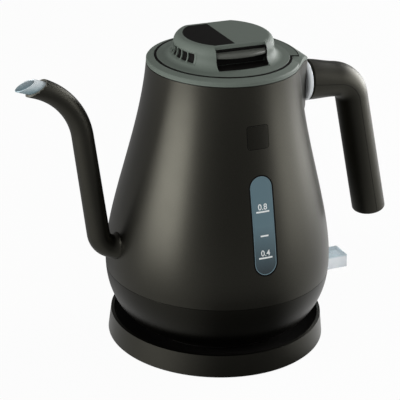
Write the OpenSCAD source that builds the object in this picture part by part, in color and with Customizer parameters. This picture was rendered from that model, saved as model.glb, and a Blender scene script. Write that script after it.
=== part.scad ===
// Gooseneck electric kettle on a round power base.
// Millimetres. +Z is up, the origin is on the floor at the centre of the base,
// the handle points towards +X, the spout towards -X and the water gauge towards -Y.

/* [Power base] */
// Outer radius of the base
base_r = 74.6; // [72:0.2:84]
// How much narrower the base is at its rim
base_draft = 1.7; // [0:0.1:2.4]
// Height of the base rim above the floor
base_h = 16.5; // [15.5:0.5:20]
// Wall of the base shell
base_wall = 2.2; // [1.6:0.1:3]
// Thickness of the tray and of the bottom plate
tray_t = 2; // [1.6:0.1:2.4]
// Radius of a rubber foot
pad_r = 6.5; // [5:0.5:8]
// Height of the bottom plate above the floor
pad_proud = 1; // [0.6:0.1:1.4]
// Radius of the cord that the gland takes
cord_r = 2.6; // [2.2:0.1:3]
// Radius of the connector post in the base
post_r = 9.6; // [8.5:0.1:11]

/* [Body] */
// Largest radius of the body
belly_r = 76.85; // [72:0.25:82]
// Height of the largest radius
belly_z = 57; // [55:0.5:60]
// Radius of the body at its top seam
neck_r = 50.7; // [49:0.1:54]
// Height of the top seam
neck_z = 196.2; // [190:0.2:206]
// Radius of the flat underside
foot_r = 52; // [48:0.5:56]
// Height of the underside above the floor
foot_z = 12.5; // [12.3:0.1:14]
// Height of the seam between the body and the lower cover
seam_z = 51.9; // [50.5:0.1:53]
// Wall of the outer body and the lower cover
body_wall = 2.2; // [1.8:0.1:2.8]
// Air gap between the outer body and the water vessel
air_gap = 1.7; // [1.4:0.1:2.2]
// Wall of the steel vessel
vessel_wall = 0.8; // [0.6:0.1:1.2]
// Height of the underside of the vessel
vessel_z = 58; // [57:0.25:61]

/* [Lid] */
// Width of the shoulder ring's top, from the body's edge to the mouth
ring_w = 5.2; // [4.8:0.1:6]
// Height of the shoulder ring above the top seam
ring_h = 4.7; // [4.4:0.1:5.5]
// Gap between the lid and the mouth
lid_gap = 1; // [0.7:0.1:1.4]
// Height of the lid's raised middle above the shoulder ring
puck_h = 15.1; // [14:0.1:18]
// Radius of the raised middle at its waist
puck_r = 33.1; // [31.5:0.1:35]
// Width of the rounded shoulder of the raised middle
shoulder_w = 4.8; // [3.5:0.1:6]
// Width of the concave flare at the foot of the raised middle
flare_w = 6.8; // [5:0.1:8]
// Wall of the lid
lid_wall = 2.2; // [1.8:0.1:2.6]
// Half width of each finger recess
recess_half_w = 18; // [17:0.5:20]
// Depth of each finger recess, from the waist of the raised middle
recess_depth = 9.1; // [8:0.1:10]
// Number of steam slots
vent_count = 6; // [4:1:7]
// Angle from one steam slot to the next
vent_pitch = 10.5; // [9:0.5:12]
// Angle covered by one steam slot
vent_slot = 6.6; // [4:0.2:7.5]
// Angle to each side that the lid's tab covers
tab_angle = 22; // [18:1:26]
// How far the tab reaches past the edge of the lid
tab_w = 5; // [4:0.1:5.4]
// Inward travel of each pinch button
button_travel = 3; // [2:0.25:4]

/* [Spout] */
// Height where the spout leaves the body
spout_z = 75.5; // [72:0.5:80]
// Radius of the bend at the foot of the spout
foot_bend_r = 13.5; // [12:0.5:18]
// Outward lean of the straight stretch, from the vertical
spout_lean = 8.7; // [4:0.1:14]
// Length of the straight stretch
spout_straight = 71.5; // [60:0.5:80]
// Radius of the gooseneck bend
neck_bend_r = 46.2; // [40:0.2:54]
// Angle of the gooseneck bend
neck_bend = 62.5; // [50:0.5:75]
// Radius of the spout cover at its foot
cover_r = 7.8; // [7.4:0.1:8.6]
// Radius of the spout cover at its tip
cover_tip_r = 6.9; // [6.8:0.1:7.3]
// Radius of the flare where the cover meets the body
cover_flare_r = 9.5; // [9:0.1:11]
// Radius of the steel pouring tube
tube_r = 5.2; // [4.6:0.1:5.3]
// Wall of the pouring tube
tube_wall = 0.8; // [0.6:0.1:1.2]
// Length of tube that shows past the cover, along its upper side
tip_top = 3; // [2:0.1:5]
// Angle between the tube and its slanted mouth
tip_bevel = 46; // [40:1:60]
// Angle between the cover and its slanted end
cover_bevel = 54; // [46:1:75]

/* [Handle] */
// Height of the handle's arm at its root
arm_z = 175.3; // [170:0.1:179]
// Distance from the body's surface to the handle's end face
arm_out = 9.3; // [8:0.1:12]
// Length of the arm up to the elbow
arm_len = 21.4; // [16:0.1:28]
// Downward slope of the arm
arm_slope = 5; // [0:0.5:10]
// Radius of the elbow
elbow_r = 17; // [15:0.25:22]
// Slope of the grip
grip_slope = 77.4; // [70:0.1:86]
// Length of the grip below the elbow
grip_len = 88.4; // [75:0.2:100]
// Thickness of the grip, seen from the side
grip_t = 22.6; // [20:0.2:25]
// Width of the grip, across the hand
grip_w = 26; // [23:0.2:28]
// Radius of the arm where it meets the collar
arm_root_r = 13; // [12.4:0.1:13.6]
// Wall of the handle shells
handle_wall = 2.4; // [2:0.1:3]
// Thickness of the silver collar
collar_t = 4.5; // [4:0.1:6]
// Distance of each handle screw from the arm's axis
handle_screw_d = 6.5; // [5.5:0.1:7.5]
// Half width of the body's fin, where it meets the collar
fin_half_w = 9; // [7:0.5:11]

/* [Water gauge] */
// Width of the gauge window
window_w = 15.5; // [12:0.5:18]
// Height of the lower end of the window
window_z0 = 74.8; // [72:0.2:80]
// Height of the upper end of the window
window_z1 = 138.5; // [125:0.5:145]
// Width of the gasket round the window
gasket_w = 0.9; // [0.7:0.1:1.4]

/* [Power lever] */
// Width of the lever
lever_w = 16; // [14:0.5:17]
// How far the lever stands out past the largest radius of the body
lever_out = 22.15; // [18:0.05:27]
// Height of the underside of the lever
lever_z = 33; // [32.5:0.1:34]
// Thickness of the lever at its tip
lever_tip_t = 9.4; // [8:0.1:10.5]
// Angle that the lever is pressed down
lever_press = 10; // [6:0.5:12]
// Depth of the lever's pin behind the surface of the body
pin_in = 7.95; // [7.5:0.05:8.5]
// Radius of the lever's pin
pin_r = 1.5; // [1.2:0.1:1.8]

/* [Inside] */
// Radius of the heater plate
heater_r = 58; // [55:0.5:62]
// Thickness of the heater plate
heater_t = 3.4; // [3:0.1:3.8]
// Radius of the heating element's ring
element_ring_r = 46; // [44:0.5:48]
// Radius of the heating element's tube
element_r = 3.6; // [3:0.1:3.8]
// Distance from the body's axis to the steam tube
steam_x = 35; // [33.5:0.25:36]
// Radius of the steam tube
steam_r = 3.4; // [3:0.1:3.8]

/* [Fits] */
// Gap between pieces that move past each other
slide_gap = 0.4; // [0.3:0.05:0.6]
// Gap between fixed pieces that seat on each other
seat_gap = 0.05; // [0.03:0.01:0.1]
// Gap between a pin and its bore
pin_gap = 0.06; // [0.03:0.01:0.1]
// Radius of a screw's shank
screw_r = 1.45; // [1.2:0.05:1.6]
// Radius of a screw's head
screw_head_r = 2.9; // [2.5:0.1:3.1]
// Height of a screw's head
screw_head_h = 1.9; // [1.6:0.1:2]

/* [Hidden] */
$fn = 96;
BROWN = "#4b463f";
BLACK = "#1c1b1a";
GREY_GREEN = "#5f6761";
STEEL = "#c4c8c9";
SILVER = "#bfc3c6";
WHITE = "#e6e4de";
BRASS = "#b98f3c";

// Body outline, from the underside through the belly to the top seam
belly_pull_down = 34;
belly_pull_up = 37;
neck_pull = [3.7, 51.2];
foot_pull = [3, 1.1];
foot_steps = 8;
side_steps = 16;
lower_line = [[foot_r, foot_z], [foot_r, foot_z] + foot_pull,
              [belly_r, belly_z - belly_pull_down], [belly_r, belly_z]];
upper_line = [[belly_r, belly_z], [belly_r, belly_z + belly_pull_up],
              [neck_r + neck_pull[0], neck_z - neck_pull[1]], [neck_r, neck_z]];
function bezier(p, t) = pow(1 - t, 3) * p[0] + 3 * pow(1 - t, 2) * t * p[1]
                      + 3 * (1 - t) * t * t * p[2] + pow(t, 3) * p[3];
body_line = concat([for (i = [0 : foot_steps - 1]) bezier(lower_line, i / foot_steps)],
                   [for (i = [0 : side_steps]) bezier(upper_line, i / side_steps)]);
body_by_height = [for (p = body_line) [p[1], p[0]]];
function body_r(z) = lookup(z, body_by_height);
function unit(v) = v / norm(v);
function line_normal(i) =
    let (a = body_line[max(i - 1, 0)], b = body_line[min(i + 1, len(body_line) - 1)], d = unit(b - a))
    [d[1], -d[0]];
function inset_line(t) = [for (i = [0 : len(body_line) - 1]) body_line[i] - t * line_normal(i)];

// Base heights
rim_r = base_r - base_draft;
plate_top = pad_proud + tray_t;
pad_sink = 1;
tray_seat_z = foot_z - slide_gap;
tray_floor_z = tray_seat_z - 2.2;
tray_rim_z = base_h - 1.6;
seat_ring_r = [foot_r - 12, foot_r - 3];
pad_ring_r = base_r - 17;
base_screw_ring_r = 30;
gland_r = cord_r + 1.3;
gland_z = plate_top + gland_r + 0.2;
gland_x0 = base_r - 7;
gland_flange = [2, gland_r + 1.6, gland_r * 0.6];

// Connector
post_h = 9.5;
post_collar_r = post_r + 5;
post_collar_z = foot_z - 1;
contact_h = 2;
contact_z = [post_collar_z + 2.2, post_collar_z + 5.8];
contact_t = 1;
socket_r = post_r + 0.5;
socket_out_r = post_r + 9.5;
socket_z0 = post_collar_z + slide_gap;
socket_z1 = socket_z0 + 17;

// Inside heights
cover_floor_t = 2.5;
cover_floor_z = foot_z + cover_floor_t;
control_hole_r = socket_out_r + slide_gap;
control_bore_r = control_hole_r + 1;
control_r = control_bore_r + 9;
control_z1 = 44;
control_bore_z = socket_z1 + 1;
lever_pin_z = lever_z + 5;
pin_x = body_r(lever_pin_z) - pin_in;
lever_x = belly_r + lever_out;
arm_block_w = 28;
arm_block_x = pin_x - 8;
barrel_r = 3.8;
ear_t = 3.4;
vessel_inset = body_wall + air_gap;
heater_z0 = vessel_z - seat_gap - heater_t;
heater_post_r = 4.2;
heater_post_ring_r = 42;
heater_post_angles = [75, 180, 285];
vessel_corner_r = 2;
cover_screw_len = 12;
vessel_top = neck_z - 2.2;
vessel_steps = 12;
skirt_t = 0.9;
skirt_r = body_r(neck_z) - body_wall - 0.3;

// Lid heights
mouth_r = neck_r - ring_w;
lid_r = mouth_r - lid_gap;
ring_z = neck_z + ring_h;
lid_z = ring_z + 0.4;
lid_edge_t = 1.6;
lid_under = lid_z - lid_edge_t;
puck_z = ring_z + puck_h;
puck_top_r = puck_r - shoulder_w;
recess_d = puck_r - recess_depth;
flare_foot_z = lid_z + 0.4;
flare_h = 6.4;
shoulder_h = puck_z - flare_foot_z - flare_h - 1.6;
round_steps = 6;
plug_r = lid_r - 1;
plug_z = neck_z - 6.2;
plug_t = 2.2;
plug_wall = 2;
gasket_h = 3;
gasket_z = plug_z + plug_t;
claw_t = 1.6;
claw_half_w = 5;
claw_z = lid_under - 0.6 - claw_t;
claw_reach = mouth_r - 0.3;
button_half_w = recess_half_w - 0.6;
recess_floor_z = lid_z + 0.7;
button_z0 = recess_floor_z + 1.4;
button_z1 = puck_z - 4.3;
button_back_d = recess_d - 4.2;
button_front_d = recess_d + button_travel + 3.6;
button_arc_r = 48;
rib_t = 3;
rib_half_w = 9;
rib_z1 = puck_z - lid_wall - 2.4;
spring_z = (button_z0 + button_z1) / 2;
spring_r = 2.8;
spring_wire_r = 0.5;
spring_turns = 5;
lid_post_r = 3.2;
lid_screw_len = 11;
lid_post_at = [recess_d, 7];
vent_z = [lid_z + 2.4, lid_z + 9.4];
vent_frame = 2;
vent_bars = 0.9;

// Spout path in its own plane: outward from the body, then up
spout_x = body_r(spout_z) - 1;
spout_start = [spout_x, spout_z];
foot_bend = 90 - spout_lean;
function heading(a) = [cos(a), sin(a)];
function left_of(a) = [-sin(a), cos(a)];
foot_bend_c = spout_start + foot_bend_r * left_of(0);
straight_start = foot_bend_c - foot_bend_r * left_of(foot_bend);
straight_end = straight_start + spout_straight * heading(foot_bend);
neck_bend_c = straight_end - neck_bend_r * left_of(foot_bend);
tip_heading = foot_bend - neck_bend;
tip_start = neck_bend_c + neck_bend_r * left_of(tip_heading);
cover_wall = 1.5;
cover_flare_len = 7;
tube_in = vessel_inset + vessel_wall + 1;
stub_len = 6;
seal_t = 2.2;
seal_len = 4;
foot_bend_steps = 9;
neck_bend_steps = 14;
cover_sides = 28;
tube_sides = 20;

// Handle path in its own plane: outward along the arm, then down
arm_x = body_r(arm_z) + arm_out;
arm_start = [arm_x, arm_z];
arm_end = arm_start + arm_len * heading(-arm_slope);
elbow_c = arm_end - elbow_r * left_of(-arm_slope);
grip_start = elbow_c + elbow_r * left_of(-grip_slope);
grip_end = grip_start + grip_len * heading(-grip_slope);
handle_root_t = 10;
handle_end_t = 3;
elbow_steps = 10;
fin_x = arm_x - collar_t;
fin_z = arm_z - arm_root_r - 1;
fin_foot = [5, 8];
spur_angle = 27;
spur_tip_t = 1.6;
spur_z = neck_z - 2.8;
spur_steps = 8;
handle_screw_len = 18;
split_angle = 0.3;

// Shared shapes

// Solid of the body's outline, pushed in by t, or out where t is negative
module body_solid(t) {
    line = inset_line(t);
    rotate_extrude()
        polygon(concat([[0, line[0][1]]], line, [[0, line[len(line) - 1][1]]]));
}

// Shell of the body's outline between two heights
module body_shell(z0, z1, out, inner) {
    outer_line = inset_line(out);
    inner_line = inset_line(inner);
    last = len(body_line) - 1;
    rotate_extrude()
        intersection() {
            translate([0, z0]) square([2 * belly_r, z1 - z0]);
            polygon(concat(outer_line, [[inner_line[last][0], outer_line[last][1] + 0.01]],
                           [for (i = [last : -1 : 0]) inner_line[i]]));
        }
}

// Cylinder along +X from x0 to x1
module rod_x(x0, x1, r, r_end = undef) {
    translate([x0, 0, 0]) rotate([0, 90, 0])
        cylinder(h = x1 - x0, r1 = r, r2 = is_undef(r_end) ? r : r_end);
}

// Screw that points up, with its head's underside at z = 0
module screw(length) {
    cylinder(h = length, r = screw_r);
    translate([0, 0, -screw_head_h]) cylinder(h = screw_head_h, r = screw_head_r);
}

// Sector of a ring, centred on +X
module sector(half_angle, r0, r1, z0, z1) {
    rotate([0, 0, -half_angle])
        rotate_extrude(angle = 2 * half_angle)
            translate([r0, z0]) square([r1 - r0, z1 - z0]);
}

// Box given by its two corners
module box(a, b) {
    translate(a) cube(b - a);
}

// Two triangles of a four-sided face
function quad(a, b, c, d) = [[a, b, c], [a, c, d]];

// Hollow section swept along a path in the XY plane, from angle a0 to a1 of the section in n steps.
// Each station is [place, heading, half thickness, half width, wall].
module sweep_shell(stations, a0, a1, n) {
    whole = a1 - a0 >= 360;
    m = whole ? n : n + 1;
    last = len(stations) - 1;
    inner = m * len(stations);
    points = [for (t = [0, 1], st = stations, k = [0 : m - 1])
        let (a = a0 + (a1 - a0) * k / n, side = left_of(st[1]), cut = t * st[4],
             in_plane = sin(a) * (st[2] - cut), across = cos(a) * (st[3] - cut))
        [st[0][0] + side[0] * in_plane, st[0][1] + side[1] * in_plane, across]];
    function at(i, k) = i * m + k % m;
    faces = concat(
        [for (i = [0 : last - 1], k = [0 : n - 1])
            each quad(at(i, k), at(i, k + 1), at(i + 1, k + 1), at(i + 1, k))],
        [for (i = [0 : last - 1], k = [0 : n - 1])
            each quad(inner + at(i, k), inner + at(i + 1, k),
                      inner + at(i + 1, k + 1), inner + at(i, k + 1))],
        [for (k = [0 : n - 1]) each quad(at(0, k), inner + at(0, k), inner + at(0, k + 1), at(0, k + 1))],
        [for (k = [0 : n - 1])
            each quad(at(last, k), at(last, k + 1), inner + at(last, k + 1), inner + at(last, k))],
        whole ? [] : [for (i = [0 : last - 1])
            each quad(at(i, 0), at(i + 1, 0), inner + at(i + 1, 0), inner + at(i, 0))],
        whole ? [] : [for (i = [0 : last - 1])
            each quad(at(i, n), inner + at(i, n), inner + at(i + 1, n), at(i + 1, n))]);
    polyhedron(points, faces);
}

// Power base

module base_shell() {
    edge = 1;
    color(BROWN)
        difference() {
            rotate_extrude()
                polygon([[base_r - base_wall, pad_proud], [base_r - edge, pad_proud],
                         [base_r, pad_proud + edge], [rim_r, base_h - edge * 0.6],
                         [rim_r - edge * 0.6, base_h], [rim_r - base_wall, base_h]]);
            translate([0, 0, gland_z]) rod_x(gland_x0, base_r + edge, gland_r + seat_gap);
        }
}

module base_tray() {
    tray_r = rim_r - base_wall - seat_gap;
    dish_r = foot_r + 2;
    color(BLACK)
        difference() {
            union() {
                rotate_extrude()
                    polygon([[post_collar_r + seat_gap, tray_floor_z - tray_t],
                             [dish_r, tray_floor_z - tray_t],
                             [tray_r, tray_rim_z - tray_t], [tray_r, tray_rim_z], [tray_r - 1.2, tray_rim_z],
                             [dish_r, tray_floor_z], [seat_ring_r[1] + 0.6, tray_floor_z],
                             [seat_ring_r[1], tray_seat_z], [seat_ring_r[0], tray_seat_z],
                             [seat_ring_r[0] - 0.6, tray_floor_z], [post_collar_r + seat_gap, tray_floor_z]]);
                for (a = [60, 180, 300])
                    rotate([0, 0, a]) translate([base_screw_ring_r, 0, plate_top + seat_gap])
                        cylinder(h = tray_floor_z - tray_t / 2 - plate_top - seat_gap, r = screw_head_r);
            }
            for (a = [60, 180, 300])
                rotate([0, 0, a]) translate([base_screw_ring_r, 0, pad_proud])
                    cylinder(h = tray_floor_z - tray_t / 2 - pad_proud, r = screw_r + seat_gap);
            translate([0, 0, gland_z])
                rod_x(gland_x0 - gland_flange[0] - slide_gap, base_r, gland_r + slide_gap);
        }
}

module base_plate() {
    color(BLACK)
        difference() {
            translate([0, 0, pad_proud]) cylinder(h = tray_t, r = base_r - base_wall - base_draft * 0.2);
            for (a = [45 : 90 : 315])
                rotate([0, 0, a]) translate([pad_ring_r, 0, pad_proud - 1])
                    cylinder(h = pad_sink + 1, r = pad_r + seat_gap);
            for (a = [60, 180, 300])
                rotate([0, 0, a]) translate([base_screw_ring_r, 0, pad_proud - 1]) {
                    cylinder(h = tray_t + 2, r = screw_r + 0.2);
                    cylinder(h = screw_head_h / 2 + 1, r = screw_head_r + 0.2);
                }
        }
}

module base_screws() {
    head_z = pad_proud + screw_head_h / 2;
    color(STEEL)
        for (a = [60, 180, 300])
            rotate([0, 0, a]) translate([base_screw_ring_r, 0, head_z]) {
                cylinder(h = tray_floor_z - tray_t / 2 - head_z - 0.3, r = screw_r);
                translate([0, 0, -screw_head_h / 2]) cylinder(h = screw_head_h / 2, r = screw_head_r);
            }
}

module rubber_feet() {
    color(BLACK)
        for (a = [45 : 90 : 315])
            rotate([0, 0, a]) translate([pad_ring_r, 0, 0])
                rotate_extrude()
                    polygon([[0, 0], [pad_r - 0.5, 0], [pad_r, 0.5],
                             [pad_r, pad_proud + pad_sink], [0, pad_proud + pad_sink]]);
}

module base_connector() {
    color(BLACK)
        difference() {
            translate([0, 0, plate_top]) {
                cylinder(h = post_collar_z - plate_top, r = post_collar_r);
                cylinder(h = post_collar_z - plate_top + post_h, r = post_r - contact_t / 2);
            }
            for (z = contact_z)
                translate([0, 0, z - seat_gap])
                    rotate_extrude() translate([post_r - contact_t - seat_gap, 0])
                        square([contact_t * 2, contact_h + 2 * seat_gap]);
        }
}

module base_contacts() {
    color(BRASS)
        for (z = contact_z)
            translate([0, 0, z])
                rotate_extrude() translate([post_r - contact_t, 0]) square([contact_t, contact_h]);
}

module cord_gland() {
    color(BLACK)
        translate([0, 0, gland_z])
            difference() {
                union() {
                    intersection() {
                        rod_x(gland_x0, base_r + 1, gland_r);
                        translate([0, 0, -base_h]) cylinder(h = 2 * base_h, r = base_r);
                    }
                    box([gland_x0 - gland_flange[0], -gland_flange[1], -gland_flange[2]],
                        [gland_x0 + 0.5, gland_flange[1], gland_flange[2]]);
                }
                rod_x(gland_x0 - gland_flange[0] - 1, base_r + 2, cord_r);
            }
}

// Lower half of the kettle

module kettle_connector() {
    color(BLACK)
        translate([0, 0, socket_z0])
            difference() {
                cylinder(h = socket_z1 - socket_z0, r = socket_out_r);
                translate([0, 0, -1]) cylinder(h = post_h + 2.5, r = socket_r);
                for (r = [socket_r + 2.5, socket_r + 5.5])
                    translate([0, 0, -1]) rotate_extrude() translate([r, 0]) square([1.6, 7]);
            }
}

module lower_cover() {
    slot_drop = (lever_x - pin_x) * 0.3 * sin(lever_press);
    color(BROWN)
        difference() {
            union() {
                body_shell(cover_floor_z - 0.1, seam_z, 0, body_wall);
                intersection() {
                    body_solid(0);
                    translate([0, 0, foot_z - 1]) cylinder(h = cover_floor_t + 1, r = belly_r);
                }
            }
            translate([0, 0, foot_z - 1]) cylinder(h = cover_floor_t + 2, r = control_hole_r);
            for (a = heater_post_angles)
                rotate([0, 0, a]) translate([heater_post_ring_r, 0, foot_z - 1]) {
                    cylinder(h = cover_floor_t + 2, r = screw_r + 0.2);
                    cylinder(h = screw_head_h / 2 + 1, r = screw_head_r + 0.2);
                }
            box([pin_x, -lever_w / 2 - slide_gap, lever_z - slot_drop - slide_gap],
                [belly_r + 1, lever_w / 2 + slide_gap, lever_z + lever_tip_t + slide_gap]);
        }
}

module cover_screws() {
    head_z = foot_z + screw_head_h / 2;
    color(STEEL)
        for (a = heater_post_angles)
            rotate([0, 0, a]) translate([heater_post_ring_r, 0, head_z]) {
                cylinder(h = cover_screw_len, r = screw_r);
                translate([0, 0, -screw_head_h / 2]) cylinder(h = screw_head_h / 2, r = screw_head_r);
            }
}

module control_unit() {
    color(WHITE)
        difference() {
            union() {
                translate([0, 0, cover_floor_z + seat_gap])
                    cylinder(h = control_z1 - cover_floor_z - seat_gap, r = control_r);
                box([0, -arm_block_w / 2, lever_z - 2], [arm_block_x, arm_block_w / 2, control_z1]);
                for (s = [-1, 1])
                    translate([0, s * (lever_w / 2 + slide_gap + ear_t / 2), 0])
                        intersection() {
                            box([arm_block_x - 1, -ear_t / 2, lever_z], [pin_x + 3, ear_t / 2, control_z1]);
                            body_solid(body_wall + 0.5);
                        }
            }
            translate([0, 0, cover_floor_z - 1])
                cylinder(h = control_bore_z - cover_floor_z + 1, r = control_bore_r);
            translate([pin_x, 0, lever_pin_z]) rotate([90, 0, 0])
                cylinder(h = 2 * arm_block_w, r = pin_r + seat_gap, center = true);
            for (a = heater_post_angles)
                rotate([0, 0, a]) translate([heater_post_ring_r, 0, 0])
                    cylinder(h = vessel_z, r = heater_post_r + 0.6);
        }
}

module indicator_lamp() {
    lamp_r = 2.4;
    color("#a9c6d8")
        translate([arm_block_x + seat_gap, 0, lever_pin_z]) rotate([0, 90, 0])
            rotate_extrude()
                polygon([[0, 0], [lamp_r + 0.4, 0], [lamp_r + 0.4, 0.8], [lamp_r, 0.8], [lamp_r, 1.6],
                         [lamp_r * 0.8, 2.6], [lamp_r * 0.4, 3.2], [0, 3.4]]);
}

module lever_pin() {
    half = lever_w / 2 + slide_gap + ear_t;
    color(STEEL)
        translate([pin_x, 0, lever_pin_z]) rotate([90, 0, 0])
            cylinder(h = 2 * half, r = pin_r, center = true);
}

module power_lever() {
    root_x = pin_x + 6;
    tip_z = lever_z + lever_tip_t;
    color("#bccbd3")
        difference() {
            union() {
                translate([pin_x, 0, lever_pin_z]) rotate([90, 0, 0])
                    cylinder(h = lever_w, r = barrel_r, center = true);
                rotate([90, 0, 0])
                    linear_extrude(lever_w, center = true)
                        polygon([[pin_x, lever_pin_z - barrel_r + 0.5], [root_x, lever_z],
                                 [lever_x - 1, lever_z], [lever_x, lever_z + 1],
                                 [lever_x - 0.3, tip_z - 1], [lever_x - 1.2, tip_z],
                                 [root_x, tip_z], [pin_x, lever_pin_z + barrel_r - 0.5]]);
            }
            translate([pin_x, 0, lever_pin_z]) rotate([90, 0, 0])
                cylinder(h = 2 * lever_w, r = pin_r + pin_gap, center = true);
        }
}

module heater_plate() {
    post_z0 = cover_floor_z + seat_gap;
    color("#a9abac")
        difference() {
            union() {
                translate([0, 0, heater_z0]) cylinder(h = heater_t, r = heater_r);
                for (a = heater_post_angles)
                    rotate([0, 0, a]) translate([heater_post_ring_r, 0, post_z0])
                        cylinder(h = heater_z0 - post_z0 + 0.1, r = heater_post_r);
            }
            for (a = heater_post_angles)
                rotate([0, 0, a]) translate([heater_post_ring_r, 0, post_z0 - 1])
                    cylinder(h = cover_screw_len + 2, r = screw_r + seat_gap);
            translate([steam_x, 0, heater_z0 - 1]) cylinder(h = heater_t + 2, r = steam_r + seat_gap);
        }
}

module heating_element() {
    element_z = heater_z0 - seat_gap - element_r;
    start = 20;
    sweep = 320;
    color("#5b5753")
        difference() {
            translate([0, 0, element_z]) rotate([0, 0, start])
                rotate_extrude(angle = sweep) translate([element_ring_r, 0]) circle(r = element_r, $fn = 48);
            for (a = heater_post_angles)
                rotate([0, 0, a]) translate([heater_post_ring_r, 0, 0])
                    cylinder(h = vessel_z, r = heater_post_r + 0.3);
        }
}

module steam_tube() {
    z1 = vessel_top - 8;
    color(STEEL)
        translate([steam_x, 0, control_z1 + seat_gap])
            difference() {
                cylinder(h = z1 - control_z1, r = steam_r);
                translate([0, 0, -1]) cylinder(h = z1 - control_z1 + 2, r = steam_r - 0.7);
            }
}

// Body and vessel

// Wall of the vessel as an outline, pushed in by t
function vessel_line(t, top) =
    let (corner = vessel_corner_r - t, z0 = vessel_z + t, z1 = vessel_z + vessel_corner_r,
         r1 = body_r(z1) - vessel_inset - t)
    concat([[0, z0]],
           [for (a = [0 : 15 : 90]) [r1 - corner + corner * sin(a), z1 - corner * cos(a)]],
           [for (i = [1 : vessel_steps])
               let (z = z1 + (vessel_top - z1) * i / vessel_steps) [body_r(z) - vessel_inset - t, z]],
           top > vessel_top ? [[body_r(vessel_top) - vessel_inset - t, top]] : [],
           [[0, top]]);

// Long hole with round ends, cut along Y on the gauge side
module gauge_slot(grow) {
    r = window_w / 2 + grow;
    y0 = -belly_r - 5;
    y1 = -mouth_r * 0.7;
    translate([0, y0, 0]) rotate([-90, 0, 0]) linear_extrude(y1 - y0)
        union() {
            for (z = [window_z0 + window_w / 2, window_z1 - window_w / 2])
                translate([0, -z]) circle(r = r);
            translate([-r, -window_z1 + window_w / 2]) square([2 * r, window_z1 - window_z0 - window_w]);
        }
}

// Block towards the handle: a side view given as [x, z] points, cut to the fin's plan
module fin_block(side) {
    root = neck_r * heading(spur_angle);
    pull = neck_r * heading(spur_angle * 0.75);
    tip = [fin_x, fin_half_w];
    edge = [for (i = [0 : spur_steps]) let (t = i / spur_steps)
        pow(1 - t, 2) * root + 2 * t * (1 - t) * pull + t * t * tip];
    intersection() {
        translate([0, 0, belly_z])
            linear_extrude(puck_z - belly_z)
                polygon(concat(edge, [for (i = [spur_steps : -1 : 0]) [edge[i][0], -edge[i][1]]]));
        rotate([90, 0, 0]) linear_extrude(2 * neck_r, center = true) polygon(side);
    }
}

module handle_screw_holes(r) {
    for (s = [-1, 1])
        translate([0, 0, arm_z + s * handle_screw_d])
            rod_x(mouth_r - 4, fin_x + handle_screw_len + 12, r);
}

module outer_body() {
    head_x = body_r(arm_z) - body_wall + 2;
    color(BROWN)
        difference() {
            union() {
                body_shell(seam_z + 0.3, neck_z, 0, body_wall);
                difference() {
                    fin_block([[mouth_r, fin_z - fin_foot[1]], [fin_x - fin_foot[0], fin_z - fin_foot[1]],
                               [fin_x, fin_z], [fin_x, spur_z - seat_gap], [neck_r - 0.4, neck_z],
                               [mouth_r, neck_z]]);
                    body_solid(body_wall);
                    translate([0, 0, arm_z]) cylinder(h = puck_z - arm_z, r = neck_r - body_wall);
                }
            }
            gauge_slot(gasket_w + seat_gap);
            translate([0, 0, spout_z]) rod_x(-belly_r - 5, -belly_r + 20, tube_r + slide_gap);
            handle_screw_holes(screw_r + 0.2);
            for (s = [-1, 1])
                translate([0, 0, arm_z + s * handle_screw_d])
                    rod_x(mouth_r - 4, head_x, screw_head_r + 0.3);
        }
}

module inner_vessel() {
    color(STEEL)
        difference() {
            rotate_extrude()
                difference() {
                    polygon(vessel_line(0, vessel_top));
                    polygon(vessel_line(vessel_wall, vessel_top + 1));
                }
            gauge_slot(gasket_w + seat_gap);
            translate([0, 0, spout_z]) rod_x(-belly_r, -belly_r + 25, tube_r + seal_t + seat_gap);
            translate([steam_x, 0, vessel_z - 1]) cylinder(h = vessel_wall + 2, r = steam_r + seat_gap);
        }
}

module vessel_seal() {
    r0 = body_r(vessel_top) - vessel_inset - vessel_wall;
    color("#8d9490")
        rotate_extrude()
            translate([r0, vessel_top + seat_gap])
                square([skirt_r - skirt_t - seat_gap - r0, neck_z - vessel_top - seat_gap]);
}

module shoulder_ring() {
    lip = 1.6;
    notch_r = lid_r + tab_w + 0.5;
    color(GREY_GREEN)
        difference() {
            union() {
                rotate_extrude()
                    polygon([[mouth_r, neck_z + seat_gap], [skirt_r - skirt_t, neck_z + seat_gap],
                             [skirt_r - skirt_t, neck_z - 3], [skirt_r, neck_z - 3],
                             [skirt_r, neck_z + seat_gap],
                             [neck_r, neck_z + seat_gap], [neck_r - 0.1, ring_z - 3],
                             [neck_r - 0.6, ring_z - 1.5], [neck_r - 1.8, ring_z - 0.4],
                             [neck_r - 3, ring_z], [mouth_r, ring_z]]);
                difference() {
                    fin_block(concat([[mouth_r * 0.8, neck_z + seat_gap], [neck_r - 0.4, neck_z + seat_gap],
                                      [fin_x, spur_z]],
                                     [for (i = [0 : spur_steps]) let (t = i / spur_steps)
                                         pow(1 - t, 2) * [fin_x, spur_z + spur_tip_t]
                                         + 2 * t * (1 - t) * [fin_x - 2, ring_z - 1]
                                         + t * t * [neck_r - 3.5, ring_z - 0.1]],
                                     [[mouth_r * 0.8, ring_z - 0.1]]));
                    translate([0, 0, arm_z]) cylinder(h = puck_z - arm_z, r = mouth_r);
                }
            }
            sector(tab_angle + 0.8, mouth_r - 2, notch_r, lid_under - slide_gap, ring_z + 5);
            for (s = [-1, 1])
                box([-claw_half_w - 0.8, s > 0 ? 0 : -mouth_r - lip, claw_z - slide_gap],
                    [claw_half_w + 0.8, s > 0 ? mouth_r + lip : 0, claw_z + claw_t + slide_gap]);
        }
}

module gauge_window() {
    color("#5f7079")
        intersection() {
            body_shell(window_z0 - 5, window_z1 + 5, 0.3, vessel_inset + vessel_wall);
            gauge_slot(-seat_gap);
        }
}

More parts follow.
